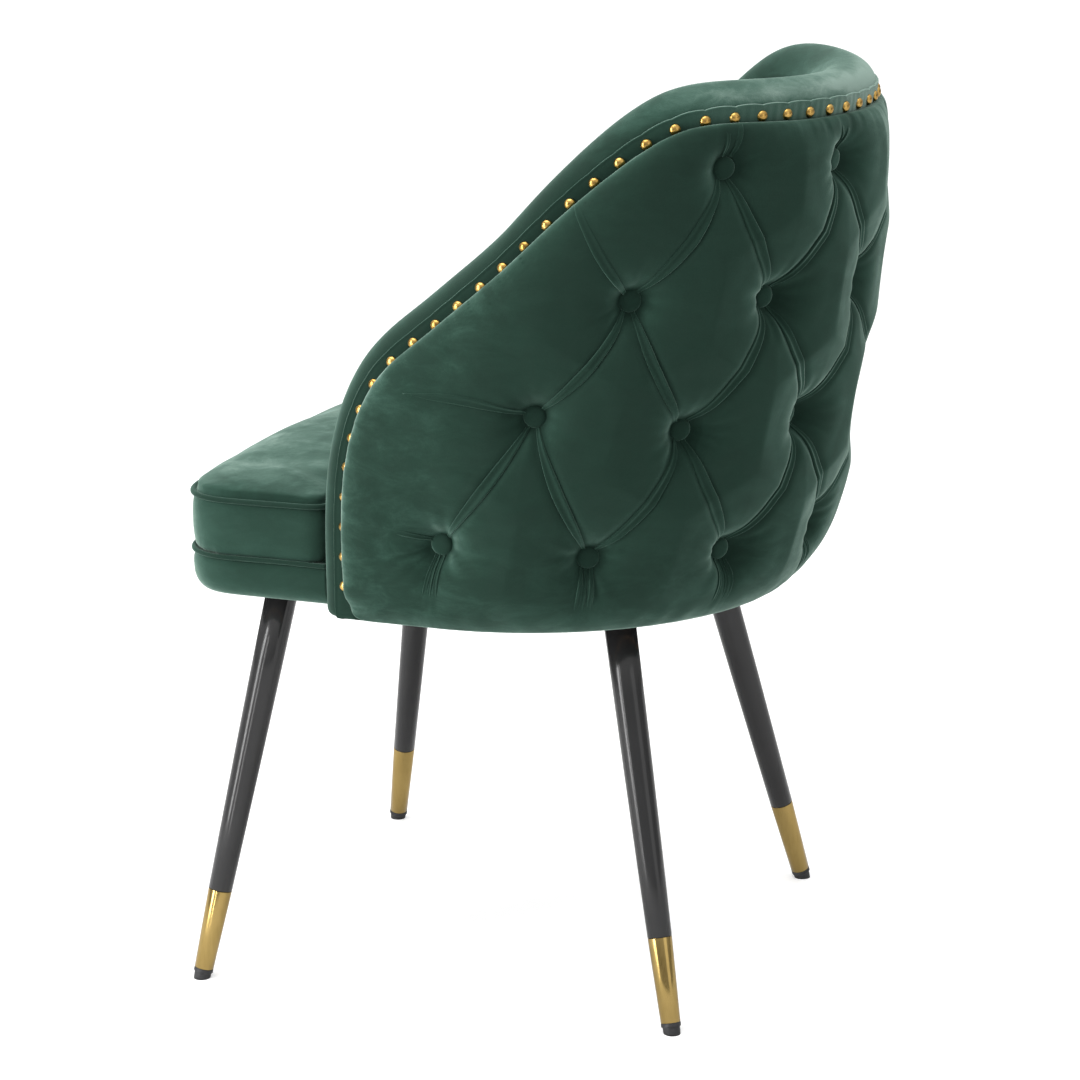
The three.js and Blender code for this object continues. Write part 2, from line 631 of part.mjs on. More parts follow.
// ---------- back ----------
const frame = shellWall(FRAME_INNER, FRAME_OUTER, SHELL_LOW, SHELL_HIGH)
  .intersect(underEdge(TRIM_ABOVE)).subtract(screwHoles);
addPiece('back_frame', frame, 'plywood');
SCREW_ANGLES.forEach((angle, i) => {
  addPiece(`back_screw_${i + 1}`, screwBody(angle, 0), 'zincSteel');
});

function makeRoll() {
  const circle = new THREE.Shape();
  circle.absarc(0, 0, ROLL_RADIUS, 0, Math.PI * 2, false);
  const path = mirrored(edgePath(ROLL_CENTRE, -ROLL_TUCK));
  const options = {
    extrudePath: new THREE.CatmullRomCurve3(path, false, 'centripetal'),
    steps: 40,
    curveSegments: 5,
    bevelEnabled: false,
  };
  return solid(new THREE.ExtrudeGeometry(circle, options));
}
const roll = makeRoll();
const lining = shellWall(LINING_INNER, LINING_OUTER, FOAM_LOW, SHELL_HIGH)
  .intersect(underEdge(0));
const behindLining = shellWall(LINING_OUTER, FAR / 2, SHELL_LOW - 60, SHELL_HIGH + 60)
  .intersect(underEdge(TRIM_ABOVE + GAP));
addPiece('inside_back_pad', lining.add(roll).subtract(behindLining), 'velvet');

// The nails sit on the trim band that covers the shell's edge.
function makeNails() {
  const path = edgePath(BACK_RADIUS, 0);
  const curve = new THREE.CatmullRomCurve3(path, false, 'centripetal');
  const count = Math.floor((curve.getLength() - NAIL_RADIUS * 2) / NAIL_PITCH);
  const nails = [];
  for (let i = -count; i <= count; i += 1) {
    const point = curve.getPointAt(Math.abs(i) * NAIL_PITCH / curve.getLength());
    const back = Math.max(0, point.y - ARC_Y - shellShift(point.z));
    const angle = Math.atan2(point.x, back);
    const nail = turned([
      [0, -NAIL_SUNK], [NAIL_RADIUS, 0], [NAIL_RADIUS * 0.7, NAIL_RISE * 0.75], [0, NAIL_RISE],
    ], NAIL_FACETS);
    const normal = shellNormal(angle);
    point.x *= Math.sign(i) || 1;
    normal.x *= Math.sign(i) || 1;
    nails.push(solid(along(nail, point, normal)));
  }
  return unite(nails);
}
const band = shellWall(PAD_INNER, BACK_RADIUS, SHELL_LOW, SHELL_HIGH)
  .intersect(underEdge(TRIM_ABOVE)).subtract(underEdge(-TRIM_BELOW));
addPiece('nailed_trim', band.add(makeNails()), 'velvet');

const rowAngle = BUTTON_ARC / BACK_RADIUS;
const buttons = BUTTONS_PER_ROW.flatMap((count, row) => Array.from({ length: count }, (_, i) => {
  const angle = (i - (count - 1) / 2) * rowAngle;
  const level = SHELL_LOW + BUTTON_FIRST_ROW + row * BUTTON_ROW;
  const isEnd = i === 0 || i === count - 1;
  const lift = row === LIFTED_ROW && isEnd ? END_BUTTON_LIFT : 0;
  const z = level + BUTTON_ROW_RISE * (1 - Math.cos(angle)) + lift;
  return { name: `button_${row + 1}_${i + 1}`, angle, z };
}));

// The outside padding in layers that shrink towards its edges, as a puffed pad does.
const pocketDepth = BUTTON_THICK + GAP;
const padLayers = PUFF_LAYERS.map(({ share, inside, above }) => shellWall(
  PAD_INNER,
  BACK_RADIUS + PUFF * share,
  SHELL_LOW + above,
  SHELL_HIGH,
).intersect(underEdge(-TRIM_BELOW - inside)));

function pocket(button) {
  const reach = PUFF + BUTTON_THICK * 2;
  const cone = turned([
    [0, -GAP], [BUTTON_RADIUS + GAP, -GAP], [BUTTON_RADIUS + 1, pocketDepth],
    [BUTTON_RADIUS + reach * POCKET_FLARE, reach], [0, reach],
  ], BUTTON_FACETS);
  return solid(along(cone, buttonPlace(button), buttonNormal(button)));
}

function makeButton(button) {
  const disc = turned([
    [0, 0], [BUTTON_RADIUS * 0.8, 0], [BUTTON_RADIUS, BUTTON_THICK * 0.4],
    [BUTTON_RADIUS * 0.7, BUTTON_THICK * 0.85], [0, BUTTON_THICK],
  ], BUTTON_FACETS);
  return solid(along(disc, buttonPlace(button), buttonNormal(button)));
}

// Buttons past a quarter turn sit on the straight part of the side.
function buttonPlace(button) {
  const quarter = Math.PI / 2;
  if (Math.abs(button.angle) <= quarter) return shellPoint(BACK_RADIUS, button.angle, button.z);
  const forward = (Math.abs(button.angle) - quarter) * BACK_RADIUS;
  const point = shellPoint(BACK_RADIUS, Math.sign(button.angle) * quarter, button.z);
  point.y -= forward;
  return point;
}

function buttonNormal(button) {
  const limit = Math.PI / 2;
  return shellNormal(THREE.MathUtils.clamp(button.angle, -limit, limit));
}

const pad = buttons.reduce((body, button) => body.subtract(pocket(button)), unite(padLayers));
addPiece('outside_back_pad', pad, 'velvet');
buttons.forEach((button) => addPiece(button.name, makeButton(button), 'velvet'));

// ---------- the chair stands centred on its own footprint ----------
const fullPuffInside = TRIM_BELOW + PUFF_LAYERS[PUFF_LAYERS.length - 1].inside;
const rearMost = ARC_Y + BACK_RADIUS + PUFF + BACK_RAKE * (BACK_HEIGHT - fullPuffInside);
chair.position.y = -(SEAT_FRONT + rearMost) / 2;

export default chair;
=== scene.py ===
import json
import math
import bmesh
import bpy
import numpy as np
from mathutils import Matrix, Vector

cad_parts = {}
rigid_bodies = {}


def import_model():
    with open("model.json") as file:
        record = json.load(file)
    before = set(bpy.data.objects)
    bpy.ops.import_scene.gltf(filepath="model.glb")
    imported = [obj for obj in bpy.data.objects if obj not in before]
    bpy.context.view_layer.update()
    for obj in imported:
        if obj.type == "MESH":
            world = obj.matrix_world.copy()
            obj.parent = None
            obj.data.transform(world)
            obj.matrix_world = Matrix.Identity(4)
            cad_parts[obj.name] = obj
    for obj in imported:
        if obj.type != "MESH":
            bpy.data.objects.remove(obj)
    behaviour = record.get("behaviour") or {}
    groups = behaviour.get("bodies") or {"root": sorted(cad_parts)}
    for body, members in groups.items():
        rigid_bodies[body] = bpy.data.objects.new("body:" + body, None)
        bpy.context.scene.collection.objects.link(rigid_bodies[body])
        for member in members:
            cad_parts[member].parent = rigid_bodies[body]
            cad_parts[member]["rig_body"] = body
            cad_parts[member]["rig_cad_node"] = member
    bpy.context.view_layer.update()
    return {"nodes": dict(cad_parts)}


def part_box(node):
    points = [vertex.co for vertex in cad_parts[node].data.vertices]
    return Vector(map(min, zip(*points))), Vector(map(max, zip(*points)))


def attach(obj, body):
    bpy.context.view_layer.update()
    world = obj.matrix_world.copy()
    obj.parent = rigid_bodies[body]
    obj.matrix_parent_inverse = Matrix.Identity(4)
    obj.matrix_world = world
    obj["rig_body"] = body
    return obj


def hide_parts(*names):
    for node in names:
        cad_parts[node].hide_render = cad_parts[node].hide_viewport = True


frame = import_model()

# A tub dining chair in buttoned velvet. Metres, +Z up, the front faces -Y.
MM = 0.001

# ---------- sizes read from the CAD frame ----------
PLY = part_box("back_frame")
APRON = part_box("seat_apron")
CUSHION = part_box("seat_cushion")
UPPER_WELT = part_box("upper_welt")
LOWER_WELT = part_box("lower_welt")
SEAT_HALF = APRON[1].x
SEAT_FRONT = APRON[0].y
WING_GAP = APRON[1].y                     # where the seat meets the wings
SHELL_LOW = PLY[0].z
TRIM_THICK = 8.3 * MM                     # with its gap to the plywood
NAIL_FACE = PLY[1].x + TRIM_THICK         # radius of the face that the nails sit on
QUARTER = NAIL_FACE * math.pi / 2         # along the shell from the middle of the back to the straight side


def back_lean():
    """Where the plywood's outer face starts on the centre line, and how far it leans back as it rises."""
    middle = [v.co for v in frame["nodes"]["back_frame"].data.vertices if abs(v.co.x) < MM]
    low = max((p for p in middle if p.z < SHELL_LOW + MM), key=lambda p: p.y)
    high = max(middle, key=lambda p: p.y)
    return low.y, (high.y - low.y) / (high.z - low.z)


PLY_REAR, RAKE = back_lean()
ARC_Y = PLY_REAR - PLY[1].x

# ---------- sizes of the soft work ----------
BACK_HEIGHT = 453 * MM                    # shell bottom to the nails at the rear
WING_REACH = 84 * MM                      # wing edge in front of the shell's round part
WING_Y = ARC_Y - WING_REACH
WING_FLARE = 3 * MM
NAIL_PITCH = 27.3 * MM
NAILS_EACH_SIDE = 29
ROLL_RADIUS = 30 * MM
ROLL_TUCK = 2 * MM
PAD_EDGE = -6.0 * MM                      # the outside padding starts this far inside the nails
BUTTON_ARC = 130 * MM
BUTTON_ROW = 115 * MM
BUTTON_FIRST_ROW = 62 * MM
BUTTON_ROW_RISE = 16 * MM                 # from the middle of the back to the sides
BUTTONS_PER_ROW = [7, 6, 5, 4]
SIDE_BUTTON_LIFT = 9 * MM                 # the second row's end buttons sit higher than the rest of it

ROOT = "root"
chance = np.random.default_rng(7)


def clear_selection():
    if bpy.context.mode != "OBJECT":
        bpy.ops.object.mode_set(mode="OBJECT")
    bpy.ops.object.select_all(action="DESELECT")


def pick(piece):
    clear_selection()
    piece.select_set(True)
    bpy.context.view_layer.objects.active = piece


def finish_piece(piece, material, slot, *nodes):
    piece.data.materials.clear()
    piece.data.materials.append(material)
    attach(piece, ROOT)
    if nodes:
        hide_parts(*nodes)
    return piece


# ---------- materials ----------
class Nodes:
    """A shader's node tree, built up from the place on the piece that its patterns read."""

    def __init__(self, tree, place):
        self.tree = tree
        self.place = self.add("TexCoord", place)

    def join(self, source, socket):
        self.tree.links.new(source, socket)

    def fill(self, sockets, name, value):
        """Sets a socket, or joins another node's output to it."""
        if isinstance(value, bpy.types.NodeSocket):
            self.join(value, sockets[name])
        else:
            sockets[name].default_value = value

    def add(self, kind, result, **sockets):
        """A new node, given by the output that is used."""
        node = self.tree.nodes.new("ShaderNode" + kind)
        for name, value in sockets.items():
            self.fill(node.inputs, name.replace("_", " "), value)
        return node.outputs[result]

    def height(self):
        return self.add("SeparateXYZ", "Z", Vector=self.place)

    def ramp(self, value, stops):
        colour = self.add("ValToRGB", "Color", Fac=value)
        bar = colour.node.color_ramp
        bar.elements[0].position, bar.elements[0].color = stops[0][0], (*stops[0][1], 1)
        bar.elements[1].position, bar.elements[1].color = stops[-1][0], (*stops[-1][1], 1)
        for place, shade in stops[1:-1]:
            bar.elements.new(place).color = (*shade, 1)
        return colour

    def math(self, operation, a, b):
        result = self.add("Math", "Value")
        result.node.operation = operation
        self.fill(result.node.inputs, 0, a)
        self.fill(result.node.inputs, 1, b)
        return result


class Look(Nodes):
    """A piece's node material."""

    def __init__(self, name):
        self.material = bpy.data.materials.new(name)
        self.material.use_nodes = True
        super().__init__(self.material.node_tree, "Object")
        self.shader = self.tree.nodes["Principled BSDF"].inputs

    def set(self, **values):
        for name, value in values.items():
            self.fill(self.shader, name.replace("_", " "), value)

    def stretched(self, scale, turn=(0, 0, 0)):
        return self.add("Mapping", "Vector", Scale=scale, Rotation=turn, Vector=self.place)

    def noise(self, scale, detail=3.0, roughness=0.5, vector=None, distortion=0.0):
        return self.add("TexNoise", "Fac", Scale=scale, Detail=detail, Roughness=roughness,
                        Distortion=distortion, Vector=vector or self.place)

    def attribute(self, name):
        value = self.add("Attribute", "Fac")
        value.node.attribute_name = name
        return value

    def spread(self, value, low, high, to_low, to_high):
        return self.add("MapRange", "Result", Value=value, From_Min=low, From_Max=high,
                        To_Min=to_low, To_Max=to_high)

    def bump(self, height, distance, strength=1.0):
        return self.add("Bump", "Normal", Strength=strength, Distance=distance, Height=height)

    def facing(self, blend, normal):
        return self.add("LayerWeight", "Facing", Blend=blend, Normal=normal)

    def done(self, colour, roughness, normal=None):
        self.set(Base_Color=colour, Roughness=roughness)
        if normal:
            self.set(Normal=normal)
        return self.material


def velvet():
    look = Look("bottle green velvet")
    look.set(Specular_IOR_Level=0.12)
    look.set(Sheen_Weight=0.25, Sheen_Roughness=0.40, Sheen_Tint=(0.55, 0.74, 0.65, 1))
    brushed = look.noise(9.0, 4.0, 0.6, look.stretched((1.0, 1.0, 1.7), (0.3, 0.2, 0.5)), 0.6)
    marks = look.noise(34.0, 5.0, 0.62, look.stretched((0.7, 1.3, 1.0), (0.6, 0.1, 0.9)), 0.9)
    streaks = look.noise(27.0, 8.0, 0.70, look.stretched((1.0, 0.8, 1.9), (0.15, 0.1, 0.4)), 0.5)
    pile = look.noise(900.0, 2.0, 0.6)
    # The pile's fine bump, which the painted sheen below also reads.
    nap_and_painted_light = look.bump(pile, 0.25 * MM, 0.5)
    # The base colour grows paler as the surface turns edge-on to the view: a painted sheen.
    edge_on = look.facing(0.30, nap_and_painted_light)
    worn = look.math("ADD", look.spread(brushed, 0.3, 0.7, -0.10, 0.10),
                     look.spread(marks, 0.3, 0.7, -0.06, 0.06))
    # The random tone patches are strengthened by that painted sheen.
    lift = look.math("MULTIPLY", worn, look.spread(edge_on, 0.1, 0.7, 0.35, 1.6))
    rubbed = look.math("MULTIPLY", look.spread(streaks, 0.42, 0.70, -0.04, 0.24), look.attribute("brushed"))
    # Painted light and shade marked on each piece, with the streaks of rubbed pile.
    painted_light_and_rubbing = look.math("ADD", look.attribute("nap_and_painted_light"), rubbed)
    shade = look.math("ADD", look.math("ADD", edge_on, lift), painted_light_and_rubbing)
    fine = look.math("ADD", shade, look.spread(pile, 0.3, 0.7, -0.018, 0.018))
    colour = look.ramp(fine, [
        (0.0, (0.0085, 0.0245, 0.0170)),
        (0.20, (0.0130, 0.0355, 0.0250)),
        (0.42, (0.0235, 0.0575, 0.0425)),
        (0.62, (0.0500, 0.1000, 0.0780)),
        (0.82, (0.1100, 0.1750, 0.1450)),
        (1.0, (0.1850, 0.2600, 0.2250)),
    ])
    rough = look.spread(marks, 0.3, 0.7, 0.82, 0.95)
    return look.done(colour, rough, nap_and_painted_light)


def lacquer():
    look = Look("graphite lacquered steel")
    look.set(Metallic=0.0, Specular_IOR_Level=0.28, Coat_Weight=0.22, Coat_Roughness=0.06)
    grain = look.noise(420.0, 3.0, 0.6)
    cloud = look.noise(16.0, 3.0)
    colour = look.ramp(cloud, [(0.3, (0.0170, 0.0170, 0.0174)), (0.7, (0.0220, 0.0220, 0.0226))])
    rough = look.spread(look.math("ADD", grain, cloud), 0.7, 1.3, 0.17, 0.24)
    return look.done(colour, rough, look.bump(grain, 0.01 * MM, 0.2))


def satin_brass(name, scratch_scale, dark, light, rough_low, rough_high):
    look = Look(name)
    look.set(Metallic=1.0)
    drawn = look.noise(1.0, 3.0, 0.6, look.stretched(scratch_scale))
    cloud = look.noise(55.0, 3.0)
    mixed = look.math("MULTIPLY", look.math("ADD", drawn, cloud), 0.5)
    colour = look.ramp(mixed, [(0.35, dark), (0.65, light)])
    rough = look.spread(drawn, 0.3, 0.7, rough_low, rough_high)
    return look.done(colour, rough, look.bump(drawn, 0.01 * MM, 0.12))


def moulded_plastic():
    look = Look("dark moulded plastic")
    look.set(Specular_IOR_Level=0.4)
    grain = look.noise(700.0, 2.0)
    cloud = look.noise(90.0, 3.0)
    colour = look.ramp(cloud, [(0.3, (0.018, 0.018, 0.019)), (0.7, (0.034, 0.034, 0.036))])
    return look.done(colour, look.spread(grain, 0.3, 0.7, 0.42, 0.62), look.bump(grain, 0.08 * MM))


def birch_ply():
    look = Look("birch plywood")
    grain = look.noise(60.0, 5.0, 0.6, look.stretched((1.0, 0.12, 1.0)), 0.4)
    plies = look.math("SINE", look.math("MULTIPLY", look.height(), 2 * math.pi / (3 * MM)), 0)
    mixed = look.math("ADD", look.math("MULTIPLY", grain, 0.7), look.math("MULTIPLY", plies, 0.12))
    colour = look.ramp(mixed, [
        (0.15, (0.33, 0.19, 0.09)),
        (0.5, (0.55, 0.36, 0.19)),
        (0.8, (0.66, 0.47, 0.28)),
    ])
    return look.done(colour, look.spread(grain, 0.3, 0.7, 0.55, 0.8), look.bump(grain, 0.1 * MM))


def open_foam():
    look = Look("cut polyether foam")
    cells = look.noise(650.0, 2.0, 0.7)
    cloud = look.noise(20.0, 3.0)
    colour = look.ramp(look.math("ADD", look.math("MULTIPLY", cells, 0.5), look.math("MULTIPLY", cloud, 0.5)),
                       [(0.3, (0.48, 0.40, 0.20)), (0.7, (0.72, 0.64, 0.40))])
    return look.done(colour, look.spread(cells, 0.3, 0.7, 0.85, 1.0), look.bump(cells, 0.5 * MM))


def zinc_plate():
    look = Look("zinc plated steel")
    look.set(Metallic=1.0)
    spangle = look.noise(260.0, 3.0)
    colour = look.ramp(spangle, [(0.3, (0.36, 0.37, 0.38)), (0.7, (0.56, 0.57, 0.58))])
    return look.done(colour, look.spread(spangle, 0.3, 0.7, 0.28, 0.5), look.bump(spangle, 0.04 * MM))


def dust_cloth():
    look = Look("black spunbond cloth")
    fibres = look.noise(380.0, 4.0, 0.7, look.stretched((1.0, 0.4, 1.0)), 1.2)
    cloud = look.noise(14.0, 3.0)
    colour = look.ramp(look.math("MULTIPLY", fibres, cloud),
                       [(0.12, (0.008, 0.008, 0.009)), (0.4, (0.03, 0.03, 0.032))])
    return look.done(colour, look.spread(fibres, 0.3, 0.7, 0.8, 1.0), look.bump(fibres, 0.25 * MM))


VELVET = velvet()
LACQUER = lacquer()
BRASS = satin_brass("brushed brass", (420, 420, 30), (0.37, 0.260, 0.090), (0.43, 0.305, 0.110), 0.16, 0.21)
NAIL_BRASS = satin_brass("antique brass", (200, 200, 200), (0.36, 0.21, 0.05), (0.62, 0.40, 0.12), 0.20, 0.34)
PLASTIC = moulded_plastic()
PLYWOOD = birch_ply()
FOAM = open_foam()
ZINC = zinc_plate()
DUST_CLOTH = dust_cloth()

# ---------- lines and surfaces of the back ----------


def arc_y(z):
    return ARC_Y + RAKE * (z - SHELL_LOW)


def on_shell(u, n, z):
    """Points on the shell: u along it from the middle of the back, n out from the nail face, z up."""
    turn = np.clip(np.abs(u), 0, QUARTER) / NAIL_FACE
    ahead = np.maximum(np.abs(u) - QUARTER, 0)
    radius = NAIL_FACE + n
    return np.stack([np.sign(u) * radius * np.sin(turn), arc_y(z) + radius * np.cos(turn) - ahead, z], -1)


def spline(points, steps):
    """A smooth line through the points."""
    row = np.array([points[0], *points, points[-1]], float)
    line = []
    for before, start, end, after in zip(row, row[1:], row[2:], row[3:]):
        leave, arrive = (end - before) / 2, (after - start) / 2
        for t in np.linspace(0, 1, steps, endpoint=False):
            cubic = (2 * start - 2 * end + leave + arrive) * t ** 3
            square = (3 * end - 3 * start - 2 * leave - arrive) * t ** 2
            line.append(cubic + square + leave * t + start)
    line.append(row[-1])
    return np.array(line)


def lengths(line):
    return np.r_[0, np.cumsum(np.linalg.norm(np.diff(line, axis=0), axis=1))]


def even(line, count):
    """The same line as evenly spaced points."""
    along = lengths(line)
    at = np.linspace(0, along[-1], count)
    return np.stack([np.interp(at, along, line[:, k]) for k in range(line.shape[1])], -1)


def smoothed(line, spread):
    """The line with its bends eased over a spread of points, its ends kept."""
    reach = spread * 3
    weight = np.exp(-0.5 * (np.arange(-reach, reach + 1) / spread) ** 2)
    weight /= weight.sum()
    before = 2 * line[0] - line[reach:0:-1]
    after = 2 * line[-1] - line[-2:-reach - 2:-1]
    longer = np.concatenate([before, line, after])
    return np.stack([np.convolve(longer[:, k], weight, "valid") for k in range(line.shape[1])], -1)


NAIL_LINE_POINTS = 800
EDGE_DEPTH = WING_REACH + NAIL_FACE + RAKE * BACK_HEIGHT
# The shell's edge in side view, as shares of its depth and height, from a wing's foot to the rear.
EDGE_SHAPE = [
    (-WING_FLARE / EDGE_DEPTH, 0), (0, 0.3), (0.07, 0.483), (0.216, 0.603), (0.363, 0.715),
    (0.515, 0.848), (0.664, 0.958), (0.776, 1.0), (1, 0.998),
]


def both_sides(half):
    """A line or grid that starts on the middle of the back, with its mirror image before it."""
    return np.concatenate([half[:0:-1] * (-1, 1), half])


def nail_line():
    """The nails' line on the shell as (u, z), from the middle of the back to the foot of a wing."""
    side = spline(np.array(EDGE_SHAPE) * (EDGE_DEPTH, BACK_HEIGHT) + (WING_Y, SHELL_LOW), 40)
    behind = side[:, 0] - arc_y(side[:, 1])
    round_part = NAIL_FACE * (math.pi / 2 - np.arcsin(np.clip(behind / NAIL_FACE, -1, 1)))
    u = np.where(behind > 0, round_part, QUARTER - behind)
    half = even(np.stack([u, side[:, 1]], -1)[::-1], NAIL_LINE_POINTS)
    half[0, 0] = 0
    return even(smoothed(both_sides(half), 12)[NAIL_LINE_POINTS - 1:], NAIL_LINE_POINTS)


NAIL_LINE = nail_line()


def outward(line):
    """The direction square to a line at each point, to the left of its run."""
    along = np.gradient(line, axis=0)
    along /= np.linalg.norm(along, axis=1)[:, None]
    return np.stack([-along[:, 1], along[:, 0]], -1)


def nail_line_out(offset):
    moved = NAIL_LINE + outward(NAIL_LINE) * offset
    moved[0, 0] = 0
    return moved


def nearest_on(line, u, z):
    """Shortest distance from each point to the line, and the steps in u and z that lead there."""
    points = np.stack([u.ravel(), z.ravel()], -1)
    best = np.full(len(points), 9.0)
    step = np.zeros_like(points)
    for start, end in zip(line, line[1:]):
        run = end - start
        share = np.clip(((points - start) @ run) / max(run @ run, 1e-12), 0, 1)
        gap = start + share[:, None] * run - points
        size = (gap ** 2).sum(1)
        closer = size < best
        best[closer] = size[closer]
        step[closer] = gap[closer]
    return np.sqrt(best).reshape(u.shape), step[:, 0].reshape(u.shape), step[:, 1].reshape(u.shape)


def distance_to(line, u, z):
    return nearest_on(line, u, z)[0]


def pad_grid(edge, low, across, up, corner_share):
    """A grid over the padding from the middle of the back to a wing, within its edge line."""
    along = lengths(edge)
    corner = np.searchsorted(along, along[-1] * corner_share)
    top = even(edge[:corner + 1], across + 1)
    front = even(edge[corner:], up + 1)[::-1]
    foot = front[0]
    s = np.linspace(0, 1, across + 1)
    t = np.linspace(0, 1, up + 1)
    bottom = np.stack([foot[0] * s, low(foot[0] * s)], -1)
    bottom[-1] = foot
    middle = np.stack([np.zeros(up + 1), bottom[0, 1] + (top[0, 1] - bottom[0, 1]) * t], -1)
    s, t = s[:, None, None], t[None, :, None]
    grid = (1 - t) * bottom[:, None] + t * top[:, None] + (1 - s) * middle[None] + s * front[None]
    grid -= (1 - s) * (1 - t) * bottom[0] + (1 - s) * t * top[0] + s * (1 - t) * foot + s * t * top[-1]
    whole = both_sides(grid)
    return whole[..., 0], whole[..., 1]


def mark(mesh, name, values):
    """Keeps a number for each point of a mesh, which the velvet reads."""
    layer = mesh.attributes.new(name, "FLOAT", "POINT")
    layer.data.foreach_set("value", np.broadcast_to(values, len(mesh.vertices)).astype(float))


def merge_doubles(mesh, reach, outwards):
    """Joins points that lie within a reach of each other, and turns the faces outwards if asked."""
    tidy = bmesh.new()
    tidy.from_mesh(mesh)
    bmesh.ops.remove_doubles(tidy, verts=tidy.verts, dist=reach)
    if outwards:
        bmesh.ops.recalc_face_normals(tidy, faces=tidy.faces)
    tidy.to_mesh(mesh)
    tidy.free()


def smooth_faces(mesh):
    mesh.polygons.foreach_set("use_smooth", [True] * len(mesh.polygons))


def make_mesh(name, points, faces, marks):
    mesh = bpy.data.meshes.new(name)
    mesh.from_pydata([tuple(p) for p in points], [], faces)
    for label, values in marks.items():
        mark(mesh, label, values)
    piece = bpy.data.objects.new(name, mesh)
    bpy.context.scene.collection.objects.link(piece)
    merge_doubles(mesh, 0.01 * MM, outwards=True)
    smooth_faces(mesh)
    return piece


def ring_mesh(name, sides, marks):
    """A closed bar through rings of points, given as the lines that join the rings."""
    points = np.stack(sides, 1)
    steps, ring = points.shape[:2]
    faces = []
    for i in range(steps - 1):
        for k in range(ring):
            a, b = i * ring + k, i * ring + (k + 1) % ring
            faces.append((a, b, b + ring, a + ring))
    faces.append(tuple(range(ring)))
    faces.append(tuple(range((steps - 1) * ring, steps * ring)))
    return make_mesh(name, points.reshape(-1, 3), faces, marks)


def grid_faces(columns, rows, first=0):
    faces = []
    for i in range(columns - 1):
        for j in range(rows - 1):
            a = first + i * rows + j
            faces.append((a, a + 1, a + rows + 1, a + rows))
    return faces


def rim_loop(columns, rows):
    """Numbers of a grid's points round its edge line: up one wing, over the back and down the other."""
    left = list(range(rows))
    top = [i * rows + rows - 1 for i in range(1, columns - 1)]
    right = [(columns - 1) * rows + j for j in range(rows - 1, -1, -1)]
    return left + top + right


def closed_pad(name, front, back, rim, marks):
    """A pad between a front and a back face, with rings of points over its rim.

    The marks hold the front face's values and those of each ring."""
    columns, rows = front.shape[:2]
    count = columns * rows
    loop = rim_loop(columns, rows)
    faces = grid_faces(columns, rows) + grid_faces(columns, rows, count)
    points = list(front.reshape(-1, 3)) + list(back.reshape(-1, 3))
    rings = [loop]
    for ring in rim:
        rings.append(list(range(len(points), len(points) + len(loop))))
        points.extend(ring)
    rings.append([count + k for k in loop])
    for inner, outer in zip(rings, rings[1:]):
        for k in range(len(loop) - 1):
            faces.append((inner[k], inner[k + 1], outer[k + 1], outer[k]))
    for i in range(columns - 1):
        a, b = i * rows, (i + 1) * rows
        faces.append((a, b, count + b, count + a))
    for end in (0, -1):
        faces.append([ring[end] for ring in rings])
    spread = {}
    for label, (values, on_rings) in marks.items():
        spread[label] = np.concatenate([values.ravel(), np.zeros(count), *on_rings])
    return make_mesh(name, points, faces, spread)


# ---------- the buttoned outside padding ----------


def button_places():
    """Row, number and (u, z) of every button."""
    places = {}
    for row, count in enumerate(BUTTONS_PER_ROW):
        for i in range(count):
            u = (i - (count - 1) / 2) * BUTTON_ARC
            z = SHELL_LOW + BUTTON_FIRST_ROW + row * BUTTON_ROW
            z += BUTTON_ROW_RISE * (1 - math.cos(u / NAIL_FACE))
            if row == 1 and i in (0, count - 1):
                z += SIDE_BUTTON_LIFT
            places[row, i] = np.array([u, z])
    return places


PAD_CORNER_LONG = 16 * MM                 # the padding's rounded lower front corner
PAD_CORNER_HIGH = 10 * MM
GRID_CORNER = 0.66                        # where along its edge line a pad's grid has its corner
BUTTONS = button_places()
PAD_EDGE_LINE = nail_line_out(PAD_EDGE)


def fold_lines():
    """Every pleat between two buttons as (start, end, bow, width, kind)."""
    folds = []
    for (row, i), place in BUTTONS.items():
        for below in ((row - 1, i), (row - 1, i + 1)):
            if below in BUTTONS:
                side = 1 if place[0] > BUTTONS[below][0] else -1
                width = chance.uniform(8.5, 11) * MM
                folds.append((place, BUTTONS[below], side * chance.uniform(3, 6.5) * MM, width, "diamond"))
    return folds


def stray_fold(place, aside, direction, reach, bow, width, kind):
    """A fold that leaves a button, from a little aside of it, and runs a way in a direction."""
    start = place + np.array([aside, 0])
    return start, start + np.array(direction) / np.linalg.norm(direction) * reach, bow, width, kind


def loose_folds():
    """The folds from the outer buttons towards the padding's edges."""
    folds = []
    for (row, i), place in BUTTONS.items():
        side = np.sign(place[0]) or 1
        last = i in (0, BUTTONS_PER_ROW[row] - 1)
        if row == 0:
            for aside in (-4, -0.3, 3.6):
                aside += chance.uniform(-1, 1)
                lean = aside * 0.012 + chance.uniform(-0.03, 0.03)
                reach = BUTTON_FIRST_ROW - chance.uniform(1, 7) * MM
                bow, width = chance.uniform(-1.5, 1.5) * MM, chance.uniform(3.4, 5.0) * MM
                folds.append(stray_fold(place, aside * MM, (lean, -1), reach, bow, width, "fall"))
        if row == 3:
            for aside in (-3, 3.5):
                reach, bow = chance.uniform(30, 44) * MM, chance.uniform(-2, 2) * MM
                folds.append(stray_fold(place, aside * MM, (aside * 0.03, 1), reach, bow, 5 * MM, "faint"))
        if last and row == 2:
            folds.append(stray_fold(place, 0, (side * 0.60, 1), 110 * MM, side * -6 * MM, 8 * MM, "long"))
        if last and row == 1:
            folds.append(stray_fold(place, 0, (side, 0.16), 112 * MM, 7 * MM * side, 8 * MM, "long"))
        if last and row == 0:
            folds.append(stray_fold(place, 0, (side, 0.30), 50 * MM, 3 * MM, 6 * MM, "faint"))
    return folds


FOLDS = fold_lines() + loose_folds()
ROUND = 6.28                              # a full turn, for random angles


